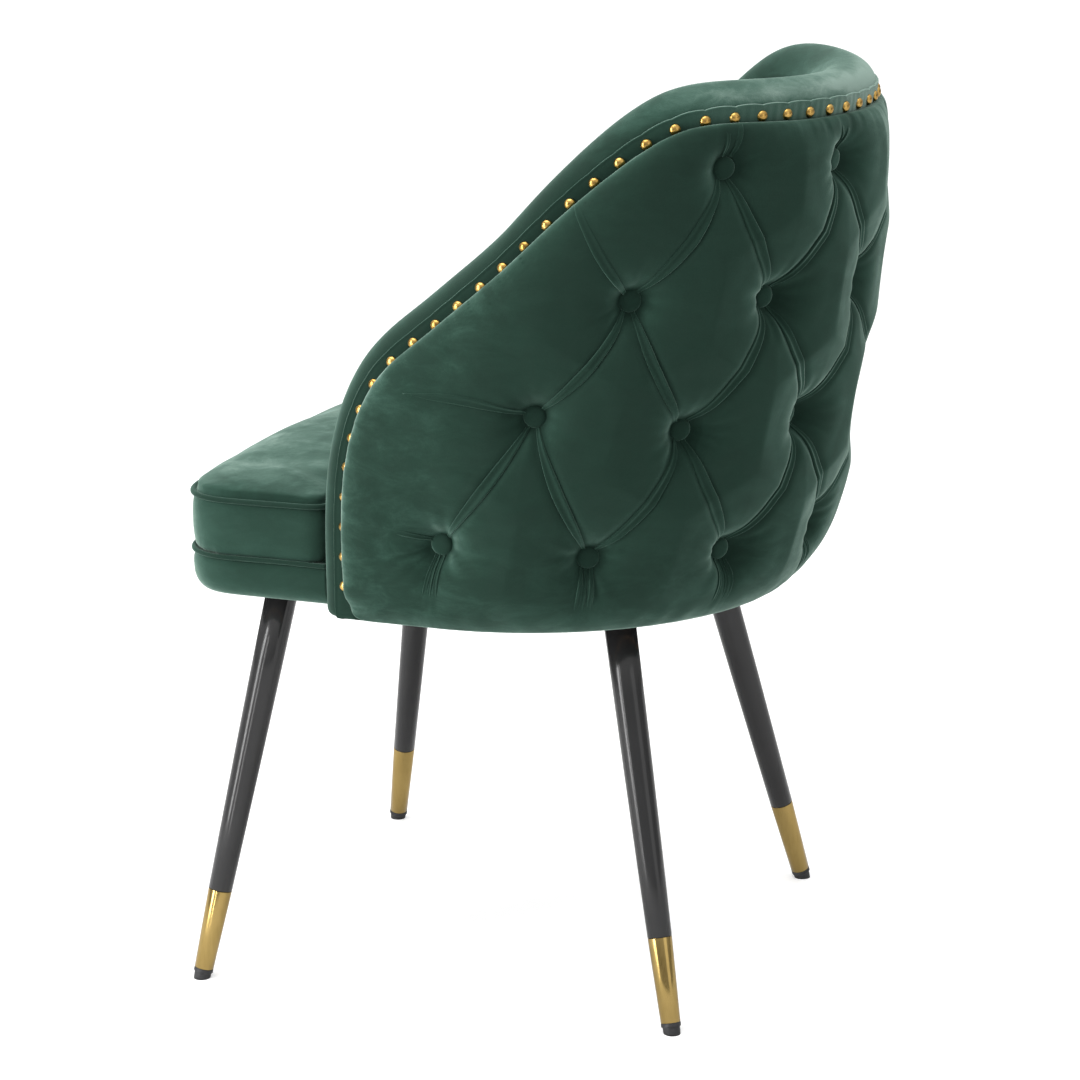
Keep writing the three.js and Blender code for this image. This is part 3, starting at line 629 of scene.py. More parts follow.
def wrinkles():
    """For every button: its number of wrinkles, their turn, their size, and the side its pile leans to."""
    drawn = {}
    for key in BUTTONS:
        count, turn = chance.integers(9, 14), chance.uniform(0, ROUND)
        size, lean = chance.uniform(0.7, 1.3), chance.uniform(0, ROUND)
        drawn[key] = count, turn, size, lean
    return drawn


def waves():
    """The padding's slight unevenness as (waves along u and z, phase, size), three of each length."""
    drawn = []
    for often, size in ((14, 0.9), (22, 0.7), (35, 0.5), (60, 0.30), (95, 0.18)):
        for _ in range(3):
            drawn.append((chance.uniform(-1, 1, 2) * often, chance.uniform(0, ROUND), size))
    return drawn


WRINKLES = wrinkles()
WAVES = waves()


def smooth_step(value, low, high):
    share = np.clip((value - low) / (high - low), 0, 1)
    return share * share * (3 - 2 * share)


def fold_route(fold, shares):
    start, end, bow, _, _ = fold
    run = end - start
    sideways = np.array([-run[1], run[0]]) / np.linalg.norm(run)
    shares = np.asarray(shares)
    return start + shares[:, None] * run + (np.sin(math.pi * shares) * bow)[:, None] * sideways


def fold_gap(fold, u, z):
    """How far along a fold each point is, as a share, and its distance from the fold's middle line."""
    start, end = fold[:2]
    run = end - start
    share = np.clip(((u - start[0]) * run[0] + (z - start[1]) * run[1]) / (run @ run), 0, 1)
    line = fold_route(fold, share.ravel()).reshape(*share.shape, 2)
    return share, np.hypot(u - line[..., 0], z - line[..., 1])


def fold_swell(share, kind):
    """A fold's width along it, as a share of its full width."""
    if kind == "diamond":
        return 0.32 + 0.68 * np.sin(math.pi * share) ** 0.9
    return (0.5 + 0.5 * np.sin(math.pi * share)) * (1 - 0.75 * smooth_step(share, 0.75, 1.0))


def fold_rise(share, kind):
    """A fold's height along it, as a share of its full height."""
    if kind == "diamond":
        return 0.55 + 0.45 * np.sin(math.pi * share)
    if kind == "fall":
        return 0.60 - 0.60 * smooth_step(share, 0.40, 1.0)
    if kind == "long":
        return 0.75 - 0.45 * share
    return 0.75 * (1 - smooth_step(share, 0.25, 1.0))


def along_shell(u, z):
    """How far along the nails' line the place nearest to each point lies."""
    reach = lengths(NAIL_LINE)
    order = np.argmin((NAIL_LINE[None, ::8, 0] - np.abs(u.ravel())[:, None]) ** 2
                      + (NAIL_LINE[None, ::8, 1] - z.ravel()[:, None]) ** 2, axis=1)
    return reach[::8][order].reshape(u.shape)


def lip_pinch(reach):
    """Where the cover is drawn into a crease under a nail, along the nails' line."""
    at_nail = np.exp(-((1 - np.cos(2 * math.pi * reach / NAIL_PITCH)) / 0.12))
    return at_nail * np.maximum(np.sin(reach / (41 * MM)) * np.sin(reach / (103 * MM) + 1), 0)


def from_edge(u, z):
    """Distance from the padding's edge, and the steps in u and z on a wing that lead there."""
    return nearest_on(PAD_EDGE_LINE[::5], np.abs(u), z)


def padding(u, z):
    """How far the outside padding stands out from the nail face."""
    edge = from_edge(u, z)[0]
    low = np.maximum(z - SHELL_LOW, 0)
    rear = 1 - smooth_step(np.abs(u), 0.14, 0.32)
    soft = (8 + 8 * rear * smooth_step(low, 0.28, 0.38)) * MM
    lip = 27 * (1 - np.exp(-edge / soft)) + 12 * (1 - np.exp(-edge / (120 * MM)))
    foot = 1 - np.exp(-low / (28 * MM))
    height = lip * MM * foot
    pull = np.zeros_like(u)
    ripple = np.zeros_like(u)
    for key, place in BUTTONS.items():
        du, dz = u - place[0], z - place[1]
        reach = np.hypot(du, dz)
        near = 1 / (1 + (np.maximum(reach - 9.2 * MM, 0) / (12 * MM)) ** 1.6)
        pull = np.maximum(pull, near * (1 - smooth_step(reach, 50 * MM, 80 * MM)))
        count, turn, size, _ = WRINKLES[key]
        angle = np.arctan2(dz, du)
        around = smooth_step(reach, 11 * MM, 18 * MM) * (1 - smooth_step(reach, 22 * MM, 48 * MM))
        wave = np.sin(count * angle + turn + 2 * np.sin(angle * 2 + turn))
        wave *= 0.6 + 0.4 * np.sin(3 * angle + turn * 2)
        ripple += around * wave * size * 1.1 * MM
    valley = np.zeros_like(u)
    for fold in FOLDS:
        share, gap = fold_gap(fold, u, z)
        if fold[4] == "diamond":
            depth = (0.14 + 0.08 * np.abs(2 * share - 1) ** 2) * np.exp(-(gap / (15 * MM)) ** 1.1)
            depth += 0.07 * np.exp(-(gap / (7 * MM)) ** 4)
        elif fold[4] == "fall":
            depth = 0.15 * (1 - 0.45 * share) * np.exp(-(gap / (8 * MM)) ** 1.3)
        else:
            depth = 0.13 * (1 - share) * np.exp(-(gap / (8 * MM)) ** 1.3)
        valley = np.maximum(valley, depth)
    undulation = np.zeros_like(u)
    for wave, phase, size in WAVES:
        undulation += size * 0.55 * np.sin(wave[0] * u + wave[1] * z + phase)
    calm = smooth_step(edge, 4 * MM, 40 * MM) * smooth_step(low, 2 * MM, 30 * MM)
    height = height * (1 - 0.915 * pull) * (1 - valley) + (ripple + undulation * MM * (1 - pull)) * calm
    reach = along_shell(u, z)
    pucker = np.cos(2 * math.pi * reach / NAIL_PITCH) * (0.35 + 0.75 * np.sin(reach / 0.055) ** 2)
    height += pucker * 0.7 * MM * np.exp(-((edge - 8 * MM) / (8 * MM)) ** 2)
    height -= lip_pinch(reach) * 1.7 * MM * np.exp(-((edge - 7 * MM) / (11 * MM)) ** 2)
    gather = np.sin(u / (5.2 * MM) + 2.0 * np.sin(u / (31 * MM))) * np.sin(u / (47 * MM) + 1)
    height += gather * 0.8 * MM * np.exp(-((low - 8 * MM) / (10 * MM)) ** 2)
    return np.maximum(height, 0)


def padding_painted_shade_and_sheen(u, z):
    """Painted shade in the creases beside the folds, in the pinches under the nails and round the buttons'
    pits, a painted sheen beside each pit, and slightly paler on the wings.
    """
    edge = from_edge(u, z)[0]
    # Slightly paler on the wings.
    nap_and_painted_light = 0.05 * smooth_step(np.abs(u), 0.31, 0.42)
    # Painted shade in the pinches under the nails.
    nap_and_painted_light -= 0.12 * lip_pinch(along_shell(u, z)) * np.exp(-((edge - 7 * MM) / (11 * MM)) ** 2)
    # Painted shade along both sides of every fold.
    creases = np.zeros_like(u)
    for fold in FOLDS:
        share, gap = fold_gap(fold, u, z)
        half = fold[3] * 0.5 * fold_swell(share, fold[4])
        strength = 0.13 * fold_rise(share, fold[4])
        creases = np.minimum(creases, -strength * np.exp(-((gap - half) / (2.2 * MM)) ** 2))
    nap_and_painted_light += creases
    for key, place in BUTTONS.items():
        du, dz = u - place[0], z - place[1]
        reach, angle = np.hypot(du, dz), np.arctan2(dz, du)
        count, turn, _, lean = WRINKLES[key]
        # A painted sheen on one side of each pit, with random tone round it.
        halo = np.exp(-((reach - 18 * MM) / (9 * MM)) ** 2)
        nap_and_painted_light += halo * (0.07 * np.cos(angle - lean) + 0.035 * np.sin(count * angle + turn) + 0.01)
        # A ring of painted shade at the pit's rim.
        nap_and_painted_light -= 0.14 * np.exp(-((reach - 10.5 * MM) / (3 * MM)) ** 2)
    return nap_and_painted_light


def padding_brushed(u, z):
    """Where hands and knees have rubbed the pile: the wings, the foot and beside the nails."""
    edge = from_edge(u, z)[0]
    wing = smooth_step(np.abs(u), 0.31, 0.42)
    foot = 1 - smooth_step(z - SHELL_LOW, 0.05, 0.13)
    lip = 1 - smooth_step(edge, 15 * MM, 60 * MM)
    return np.clip(0.15 + 0.65 * wing + 0.5 * foot + 0.3 * lip, 0, 1.1)


def on_padding(u, z, lift=0.0):
    """Points on the padding's surface, whose lip swells out over its own edge."""
    edge, step_u, step_z = from_edge(u, z)
    rear = smooth_step(np.abs(u), 0.10, 0.26)
    reach = edge / (7 * MM)
    swell = (4.5 + 4.5 * rear) * MM * reach * np.exp(1 - reach) * smooth_step(z - SHELL_LOW, 0, 30 * MM)
    swell /= np.maximum(edge, 1e-6)
    height = padding(u, z) + lift
    return on_shell(u + np.sign(u) * step_u * swell, height, z + step_z * swell)


# Across a pleat: share of its width, rise in millimetres, and its painted light: a painted highlight along
# the rounded edges and painted shade at the buried edges.
FOLD_SECTION = [
    (-0.50, -1.5, -0.16), (-0.485, -0.2, -0.12), (-0.46, 1.2, 0.0), (-0.41, 2.4, 0.07), (-0.33, 3.1, 0.09),
    (-0.23, 3.0, 0.05), (-0.10, 2.4, 0.0), (0.06, 1.9, -0.02), (0.22, 1.9, 0.0), (0.33, 2.2, 0.05),
    (0.42, 1.9, 0.07), (0.47, 0.8, 0.0), (0.49, -0.3, -0.12), (0.50, -1.5, -0.16), (0.0, -2.4, 0.0),
]


def fold_mesh(fold, number):
    """A pleat as a flat tuck with one high rounded edge, lying on the padding."""
    start, end, _, width, kind = fold
    length = np.linalg.norm(end - start)
    first = 8 * MM / length
    last = 1 - first if kind == "diamond" else 1
    steps = max(int(length / (2.2 * MM)), 12)
    shares = np.linspace(first, last, steps)
    route = fold_route(fold, shares)
    sideways = outward(route)
    flip = -1 if number % 3 == 0 else 1   # every third pleat lies the other way
    place = (shares - first) / (last - first)
    swell, tall = fold_swell(place, kind), fold_rise(place, kind)
    wobble = 1 + 0.05 * np.sin(place * 7 + number) + 0.02 * np.sin(place * 17 + number * 2)
    sides, nap_and_painted_light = [], []
    for across, rise, edge_light_and_shade in FOLD_SECTION:
        at = route + sideways * (flip * across * width * swell * wobble)[:, None]
        lift = (np.full(steps, rise) if rise < 0 else rise * tall - (1 - tall) * 0.8) * MM
        sides.append(on_padding(at[:, 0], at[:, 1], lift))
        nap_and_painted_light.append(edge_light_and_shade * tall)
    return ring_mesh(f"fold_{number}", sides, {"nap_and_painted_light": np.stack(nap_and_painted_light, 1).ravel()})


def turned_under_hem():
    """The outside cover's hem, drawn under the plywood's bottom edge and stapled there."""
    foot = PAD_EDGE_LINE[-1, 0] - 2 * MM
    u = np.linspace(-foot, foot, 200)
    flat = np.ones(len(u))
    sides = []
    for out, rise in ((-3, 0.2), (-3, -0.7), (-8, -1.1), (-20, -1.1), (-23, -0.8), (-23, -0.1)):
        sides.append(on_shell(u, out * MM * flat, flat * SHELL_LOW + rise * MM))
    # The hem is marked a tone darker.
    return ring_mesh("hem", sides, {"nap_and_painted_light": -0.1})


def make_outside_pad():
    foot = PAD_EDGE_LINE[-1, 0]

    def low(u):
        turn = np.clip((u - foot + PAD_CORNER_LONG) / PAD_CORNER_LONG, 0, 1)
        return SHELL_LOW + PAD_CORNER_HIGH * (1 - np.sqrt(1 - turn ** 2))

    edge = PAD_EDGE_LINE[PAD_EDGE_LINE[:, 1] > SHELL_LOW + PAD_CORNER_HIGH]
    u, z = pad_grid(edge, low, 230, 190, GRID_CORNER)
    front = on_padding(u, z)
    back = on_shell(u, np.full_like(u, -7.6 * MM), z)
    marks = {"nap_and_painted_light": (padding_painted_shade_and_sheen(u, z), []), "brushed": (padding_brushed(u, z), [])}
    pad = closed_pad("outside_pad", front, back, [], marks)
    folds = [fold_mesh(fold, number) for number, fold in enumerate(FOLDS)] + [turned_under_hem()]
    pick(pad)
    for fold in folds:
        fold.select_set(True)
    bpy.ops.object.join()
    finish_piece(pad, VELVET, "velvet", "outside_back_pad")


# ---------- the inside padding and its roll ----------
LINING_FACE = -2 * ROLL_RADIUS
LINING_BACK = -20.6 * MM
PLY_TOP = 12.3 * MM
FOAM_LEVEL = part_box("seat_foam")[0].z
FOOT_DROP = 1.2 * MM                      # the roll's rounded foot below the plywood
FOOT_SHARE = 0.30                         # of the roll's radius, lost at the very foot
BAND_SEAT = -7.8 * MM                     # where the roll tucks in under the trim band


def foot_round(z):
    """Share of the roll's full radius near its rounded foot."""
    rise = np.clip((z - SHELL_LOW + FOOT_DROP) / (12 * MM), 0, 1)
    return np.sqrt(1 - (1 - rise) ** 2) * FOOT_SHARE + (1 - FOOT_SHARE)


def to_foot(line):
    """A line down a wing carried on to the roll's foot."""
    last = line[-1] - (0, FOOT_DROP)
    return np.concatenate([line[:-1], [line[-1]], [last]])


def make_inside_pad():
    line = to_foot(nail_line_out(-ROLL_TUCK))
    foot = line[-1, 0]

    def low(u):
        on_slab = FOAM_LEVEL + 0.5 * MM
        return on_slab - (on_slab - line[-1, 1]) * smooth_step(u, foot - 28 * MM, foot - 18 * MM)

    u, z = pad_grid(line, low, 120, 100, GRID_CORNER)
    edge = distance_to(line[::5], np.abs(u), z)
    rounding = foot_round(z)
    depth = LINING_FACE + ROLL_RADIUS * (1 - rounding) * np.exp(-edge / (15 * MM))
    plump = smooth_step(edge, 25 * MM, 110 * MM) * smooth_step(z, 0.50, 0.60)
    depth = depth - 5 * MM * plump
    front = on_shell(u, depth, z)
    back = on_shell(u, np.full_like(u, LINING_BACK), z)
    loop = rim_loop(*u.shape)
    edge_u, edge_z = u.ravel()[loop], z.ravel()[loop]
    whole = np.stack([edge_u, edge_z], -1)
    out = outward(whole)
    radius = ROLL_RADIUS * foot_round(edge_z)
    reach = lengths(whole)
    wing = 1 - smooth_step(edge_z, 0.50, 0.62)
    rings, ring_painted_light = [], []
    at_back = 1 - smooth_step(np.abs(edge_u), 0.20, 0.33)
    for angle in np.radians(np.linspace(180, 10, 26)[1:]):
        crease = 1 + wing * 0.022 * np.sin(3.2 * angle + 0.8 * np.sin(reach / 0.05))
        crease += (1 - wing) * 0.010 * np.sin(reach / 0.06 + 2 * angle) * np.sin(angle)
        size = radius * crease
        offset = size * np.sin(angle)
        at = whole + out * offset[:, None]
        rings.append(on_shell(at[:, 0], -ROLL_RADIUS + size * np.cos(angle), at[:, 1]))
        # Painted light on the roll's outer slope at the rear, painted shade on its crest and down the wings.
        over = math.exp(-((angle - math.radians(42)) / math.radians(30)) ** 2)
        top = math.exp(-((angle - math.radians(115)) / math.radians(38)) ** 2)
        ring_painted_light.append(0.52 * over * at_back - 0.17 * top - 0.24 * (1 - at_back))
    tucked = whole + out * (radius * 0.15)[:, None]
    on_ply = whole + out * (PLY_TOP + ROLL_TUCK) * foot_round(edge_z)[:, None]
    for at, depth in ((tucked, BAND_SEAT), (on_ply, BAND_SEAT), (on_ply, LINING_BACK)):
        rings.append(on_shell(at[:, 0], np.full(len(at), depth), at[:, 1]))
    high = smooth_step(z, 0.66, 0.80)
    brushed = 0.35 + 0.55 * high
    ring_brushed = [brushed.ravel()[loop]] * len(rings)
    ring_painted_light += [np.zeros(len(loop))] * (len(rings) - len(ring_painted_light))
    # The lining's face is darker towards its top.
    marks = {"nap_and_painted_light": (-0.26 * high, ring_painted_light), "brushed": (brushed, ring_brushed)}
    pad = closed_pad("inside_pad", front, back, rings, marks)
    finish_piece(pad, VELVET, "velvet", "inside_back_pad")


# ---------- the trim band and its nails ----------


def roll_height(offset):
    """The roll's surface beside the nails, out from the nail face."""
    return -ROLL_RADIUS + np.sqrt(np.maximum(ROLL_RADIUS ** 2 - (offset + ROLL_TUCK) ** 2, 0))


def make_band():
    half = even(to_foot(NAIL_LINE), 620)
    whole = both_sides(half)
    out = outward(whole)
    on_face = on_shell(whole[:, 0], np.zeros(len(whole)), whole[:, 1])
    reach = lengths(on_face)
    reach -= reach[len(half) - 1]
    phase = np.abs(np.sin(math.pi * reach / NAIL_PITCH))
    at_rear = 1 - smooth_step(np.abs(whole[:, 0]), 0.20, 0.30)
    foot = foot_round(whole[:, 1])
    rounding = 1 - ((1 - foot) / FOOT_SHARE) ** 2
    top = (10.2 - 1.0 * at_rear + (0.6 + 1.1 * at_rear) * phase ** 0.45) * MM * (0.5 + 0.5 * rounding)
    pinch = np.exp(-((1 - np.cos(2 * math.pi * reach / NAIL_PITCH)) / 0.25)) * 0.5 * MM
    puckers = np.sin(2 * math.pi * reach / NAIL_PITCH * 3 + np.sin(reach / 0.04)) * phase
    puckers *= (0.05 + 0.12 * at_rear) * MM
    drawn_in = (1 - foot) * ROLL_RADIUS * 0.5
    section = []
    for offset, rise in ((-9.5, -4.0), (-9.3, -0.6), (-6, 0.0), (-3, 0.15), (0, 0.0), (3, 0.15)):
        height = rise * MM - pinch + puckers * (rise > -0.5) - drawn_in
        section.append((np.full(len(whole), offset * MM), height))
    for before, rise in ((4.0, 0.9), (2.2, 1.2), (1.2, 1.9), (0.5, 2.0), (0.0, 1.2), (0.1, -0.8)):
        offset = top - before * MM
        section.append((offset, roll_height(offset) + rise * MM + puckers * 0.6 - drawn_in))
    section.append((np.full(len(whole), 2 * MM), np.full(len(whole), -5 * MM)))
    sides = []
    for offset, height in section:
        at = whole + out * offset[:, None]
        sides.append(on_shell(at[:, 0], height, at[:, 1]))
    # Painted light along the band at the rear, the rest a little darker.
    nap_and_painted_light = np.repeat(0.48 * (1 - smooth_step(np.abs(whole[:, 0]), 0.20, 0.33)) - 0.03, len(section))
    band = ring_mesh("trim_band", sides, {"nap_and_painted_light": nap_and_painted_light})
    finish_piece(band, VELVET, "velvet", "nailed_trim")


def nail_places():
    """Point and outward direction of every nail, from one wing's foot to the other's."""
    on_face = on_shell(NAIL_LINE[:, 0], np.zeros(len(NAIL_LINE)), NAIL_LINE[:, 1])
    reach = lengths(on_face)
    places = []
    for i in range(-NAILS_EACH_SIDE, NAILS_EACH_SIDE + 1):
        u, z = (np.interp(abs(i) * NAIL_PITCH, reach, NAIL_LINE[:, k]) for k in (0, 1))
        places.append(shell_place(math.copysign(u, i) if i else 0, z))
    return places


def shell_place(u, z, rise=0.0):
    """A point on the nail face and the direction straight out of the shell there."""
    turn = math.copysign(min(abs(u), QUARTER) / NAIL_FACE, u)
    point = on_shell(np.array(u), np.array(rise), np.array(z))
    straight = Vector((math.sin(turn), math.cos(turn), -RAKE * math.cos(turn))).normalized()
    return Vector(point), straight


def turned(name, rings, segments):
    """A round piece pulled up from a disc, ring by ring, each a radius and a height in millimetres."""
    clear_selection()
    radius, height = rings[0]
    bpy.ops.mesh.primitive_circle_add(
        vertices=segments, radius=radius * MM, fill_type="NGON", location=(0, 0, height * MM))
    piece = bpy.context.object
    piece.name = name
    bpy.ops.object.transform_apply(location=True, rotation=True, scale=True)
    bpy.ops.object.mode_set(mode="EDIT")
    bpy.ops.mesh.select_all(action="SELECT")
    for next_radius, next_height in rings[1:]:
        bpy.ops.mesh.extrude_region_move(
            TRANSFORM_OT_translate={"value": (0, 0, (next_height - height) * MM)})
        share = next_radius / radius
        bpy.ops.transform.resize(value=(share, share, 1), center_override=(0, 0, next_height * MM))
        radius, height = next_radius, next_height
    bpy.ops.mesh.select_all(action="SELECT")
    bpy.ops.mesh.normals_make_consistent(inside=False)
    bpy.ops.object.mode_set(mode="OBJECT")
    bpy.ops.object.shade_smooth_by_angle(angle=math.radians(38))
    return piece


def stand(piece, point, direction, spin=0.0):
    """Turns a piece made upright to a direction, sets it at a point and applies both."""
    pick(piece)
    turn = Vector((0, 0, 1)).rotation_difference(direction)
    piece.rotation_mode = "QUATERNION"
    piece.rotation_quaternion = turn @ Matrix.Rotation(spin, 3, "Z").to_quaternion()
    piece.location = point
    bpy.ops.object.transform_apply(location=True, rotation=True, scale=True)
    piece.rotation_mode = "XYZ"
    return piece


def another(piece, name):
    """A copy with its own mesh."""
    copy = piece.copy()
    copy.data = piece.data.copy()
    copy.name = name
    copy.data.name = name
    bpy.context.scene.collection.objects.link(copy)
    return copy


def make_nails():
    pattern = turned("nail", [(2, -1.5), (4.7, -0.6), (5.1, 0.0), (5.0, 0.8), (4.45, 1.75),
                              (3.5, 2.65), (2.2, 3.3), (0.8, 3.58)], 20)
    for number, (point, direction) in enumerate(nail_places(), 1):
        nail = another(pattern, f"nail_{number}")
        tilt = Vector(chance.uniform(-0.05, 0.05, 3))
        stand(nail, point, (direction + tilt).normalized(), chance.uniform(0, 1))
        finish_piece(nail, NAIL_BRASS, "brass")
    bpy.data.objects.remove(pattern)


def make_buttons():
    pattern = turned("button", [(6, -1.0), (9.2, -0.4), (10.3, 0.8), (10.5, 2.0), (10.2, 3.2), (9.3, 4.4),
                                (7.6, 5.3), (5.2, 5.85), (2.4, 6.0)], 40)
    for (row, i), (u, z) in BUTTONS.items():
        button = another(pattern, f"covered_button_{row + 1}_{i + 1}")
        point, direction = shell_place(u, z, -0.5 * MM)
        tilt = Vector(chance.uniform(-0.07, 0.07, 3))
        stand(button, point, (direction + tilt).normalized())
        finish_piece(button, VELVET, "velvet", f"button_{row + 1}_{i + 1}")
    bpy.data.objects.remove(pattern)


# ---------- legs ----------
STEEL_FROM = 87.9                         # where the bare steel starts along a leg, in millimetres
LEG_SIDES = 64


def ring_centre(node, level):
    """Middle of a node's points at a level."""
    points = [v.co for v in frame["nodes"][node].data.vertices if abs(v.co.z - level) < 0.1 * MM]
    return Vector([(min(p[k] for p in points) + max(p[k] for p in points)) / 2 for k in range(3)])


def trim_level(piece, level, keep_above):
    """Cuts a piece off flat at a level."""
    pick(piece)
    bpy.ops.object.mode_set(mode="EDIT")
    bpy.ops.mesh.select_all(action="SELECT")
    bpy.ops.mesh.bisect(plane_co=(0, 0, level), plane_no=(0, 0, 1), use_fill=True,
                        clear_inner=keep_above, clear_outer=not keep_above)
    bpy.ops.object.mode_set(mode="OBJECT")


def make_leg(corner):
    top_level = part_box(f"leg_{corner}")[1].z
    top = ring_centre(f"leg_{corner}", top_level)
    foot = ring_centre(f"glide_{corner}", 0.0)
    direction = (top - foot).normalized()
    length = (top - foot).length / MM
    bare = length - STEEL_FROM
    steel = turned(f"steel_leg_{corner}", [
        (8.6, 45), (9.5, 86), (10.3, 87.2), (10.85, 87.4), (11.1, STEEL_FROM),
        (12.2, STEEL_FROM + bare * 0.25), (13.3, STEEL_FROM + bare * 0.5), (14.1, STEEL_FROM + bare * 0.75),
        (14.75, length), (14.75, length + 10),
    ], LEG_SIDES)
    stand(steel, foot, direction)
    trim_level(steel, top_level, False)
    finish_piece(steel, LACQUER, "black_steel", f"leg_{corner}")
    ferrule = turned(f"brass_ferrule_{corner}", [
        (8.2, 10.0), (8.75, 10.0), (9.0, 10.35), (10.05, 48), (11.05, 86.6), (11.0, 86.9), (10.7, 87.05),
        (9.7, 87.05),
    ], LEG_SIDES)
    stand(ferrule, foot, direction)
    finish_piece(ferrule, BRASS, "brass", f"ferrule_{corner}")
    glide = turned(f"floor_glide_{corner}", [
        (7.2, -8), (7.7, 1.2), (7.9, 2.2), (7.9, 5.9), (8.7, 6.1), (9.05, 6.5), (9.05, 9.2), (8.8, 9.7),
        (7.0, 9.8), (7.0, 20),
    ], LEG_SIDES)
    stand(glide, foot, direction)
    trim_level(glide, 0.0, True)
    finish_piece(glide, PLASTIC, "glide_plastic", f"glide_{corner}")


# ---------- seat ----------
SEAT_BOW = 13 * MM
SEAT_CORNER = 52 * MM
CUSHION_CORNER = 24 * MM
CUSHION_WELT_LEVEL = (UPPER_WELT[0].z + UPPER_WELT[1].z) / 2
CUSHION_RADIUS = 184.6 * MM               # of the cushion's round rear
APRON_WELT_LEVEL = (LOWER_WELT[0].z + LOWER_WELT[1].z) / 2
APRON_BACK = 1.4 * MM                     # the apron's face behind the seat's outline
APRON_ROUND_DEEP = 16 * MM                # its rounded lower edge
APRON_ROUND_HIGH = 21 * MM
WELT_TAIL = 9 * MM


def quadratic(start, pull, end, steps):
    t = np.linspace(0, 1, steps)[:, None]
    start, pull, end = (np.array(p) for p in (start, pull, end))
    return (1 - t) ** 2 * start + 2 * t * (1 - t) * pull + t ** 2 * end


def seat_line(inset, rear, turn_in=0.0):
    """The seat's front outline from the left wing round to the right one, as points in plan."""
    half = SEAT_HALF - inset
    corner = SEAT_CORNER - inset
    front = SEAT_FRONT + SEAT_BOW + inset
    front_end = (half - corner, front - SEAT_BOW / 3)
    lines = [[(half, rear - turn_in), (half, front + corner)],
             quadratic((half, front + corner), (half, front), front_end, 24)]
    if turn_in:
        lines.insert(0, quadratic((half - turn_in, rear), (half, rear), (half, rear - turn_in), 12))
    left = np.concatenate(lines)
    bowed = quadratic(front_end, (0, front - SEAT_BOW * 5 / 3), (-front_end[0], front_end[1]), 40)
    joined = np.concatenate([left, bowed, left[::-1] * (-1, 1)])
    keep = np.r_[True, np.linalg.norm(np.diff(joined, axis=0), axis=1) > 1e-6]
    return joined[keep]


def swept(name, line, section):
    """A closed section carried along a line in plan, each of its points given as (out, level)."""
    out = outward(line)
    sides = []
    for offset, level in section:
        at = line + out * np.broadcast_to(offset, len(line))[:, None]
        sides.append(np.column_stack([at, np.broadcast_to(level, len(line))]))
    return ring_mesh(name, sides, {})


def eased(line, count):
    """The line as evenly spaced points with its joints eased."""
    return even(smoothed(even(line, count), 3), count)


def outward_sign(line):
    """+1 if the swept section's out side is away from the seat."""
    run = line[1] - line[0]
    return 1 if -run[1] * (line[0, 0] + 1e-9) > 0 else -1


def make_welt(name, node, level, rear, turn_in, thick):
    """A cord in its own strip of velvet, with a flat tail into the seam."""
    line = eased(seat_line(thick - 0.4 * MM, rear, turn_in), 420)
    sign = outward_sign(line)
    reach = lengths(line)
    radius = thick * (1 + 0.025 * np.sin(reach / 0.011 + np.sin(reach / 0.05)))
    sway = 0.35 * MM * np.sin(reach / 0.034 + 1.3 * np.sin(reach / 0.09))
    section = []
    for angle in np.radians(np.linspace(-150, 150, 19)):
        section.append((sign * radius * np.cos(angle), level + sway + radius * np.sin(angle)))
    for rise in (0.7, -0.7):
        section.append((-sign * WELT_TAIL, level + rise * MM))
    welt = swept(name, line, section)
    # The welts are marked a tone darker.
    mark(welt.data, "nap_and_painted_light", -0.12)
    finish_piece(welt, VELVET, "velvet", node)


def near_front(mesh):
    """Share by which each point lies at the seat's front corners and edge."""
    return smooth_step(-coordinates(mesh)[:, 1], 0.21, 0.29)


def make_apron():
    low, high = APRON[0].z, APRON_WELT_LEVEL - 0.8 * MM
    line = eased(seat_line(0, WING_GAP), 320)
    sign = outward_sign(line)
    reach = lengths(line)
    swell = 0.5 * MM * np.sin(reach / 0.045) + 0.3 * MM * np.sin(reach / 0.019 + 1)
    section = []
    for angle in np.radians(np.linspace(90, 0, 11)):
        section.append((sign * (APRON_ROUND_DEEP * (math.cos(angle) - 1) - APRON_BACK),
                        low + APRON_ROUND_HIGH * (1 - math.sin(angle))))
    for up, bulge in ((0.70, 0.4), (0.80, 0.0), (0.9, -1.2), (0.96, -2.6), (1.0, -4.6)):
        section.append((sign * (bulge * MM - APRON_BACK + swell * (up < 0.95)), low + (high - low) * up))
    slab_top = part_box("seat_foam")[1].z
    for inset, level in ((13.6, high), (14.2, slab_top - 1 * MM), (15.2, slab_top), (17.6, slab_top),
                         (17.6, low + 0.2 * MM)):
        section.append((-sign * inset * MM, level))
    apron = swept("apron", line, section)
    # Painted light on the apron, stronger towards the front.
    mark(apron.data, "nap_and_painted_light", 0.12 + 0.08 * near_front(apron.data))
    mark(apron.data, "brushed", 0.35)
    finish_piece(apron, VELVET, "velvet", "seat_apron")


def copied_solid(node, name):
    """A copy of a CAD node as one joined mesh."""
    piece = another(frame["nodes"][node], name)
    piece.parent = None
    piece.matrix_world = Matrix.Identity(4)
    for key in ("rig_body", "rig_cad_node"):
        del piece[key]
    merge_doubles(piece.data, 0.02 * MM, outwards=False)
    return piece


def apply(piece, kind, **settings):
    pick(piece)
    bpy.ops.object.modifier_add(type=kind)
    modifier = piece.modifiers[-1]
    for key, value in settings.items():
        setattr(modifier, key, value)
    bpy.ops.object.modifier_apply(modifier=modifier.name)


def coordinates(mesh):
    flat = np.zeros(len(mesh.vertices) * 3)
    mesh.vertices.foreach_get("co", flat)
    return flat.reshape(-1, 3)


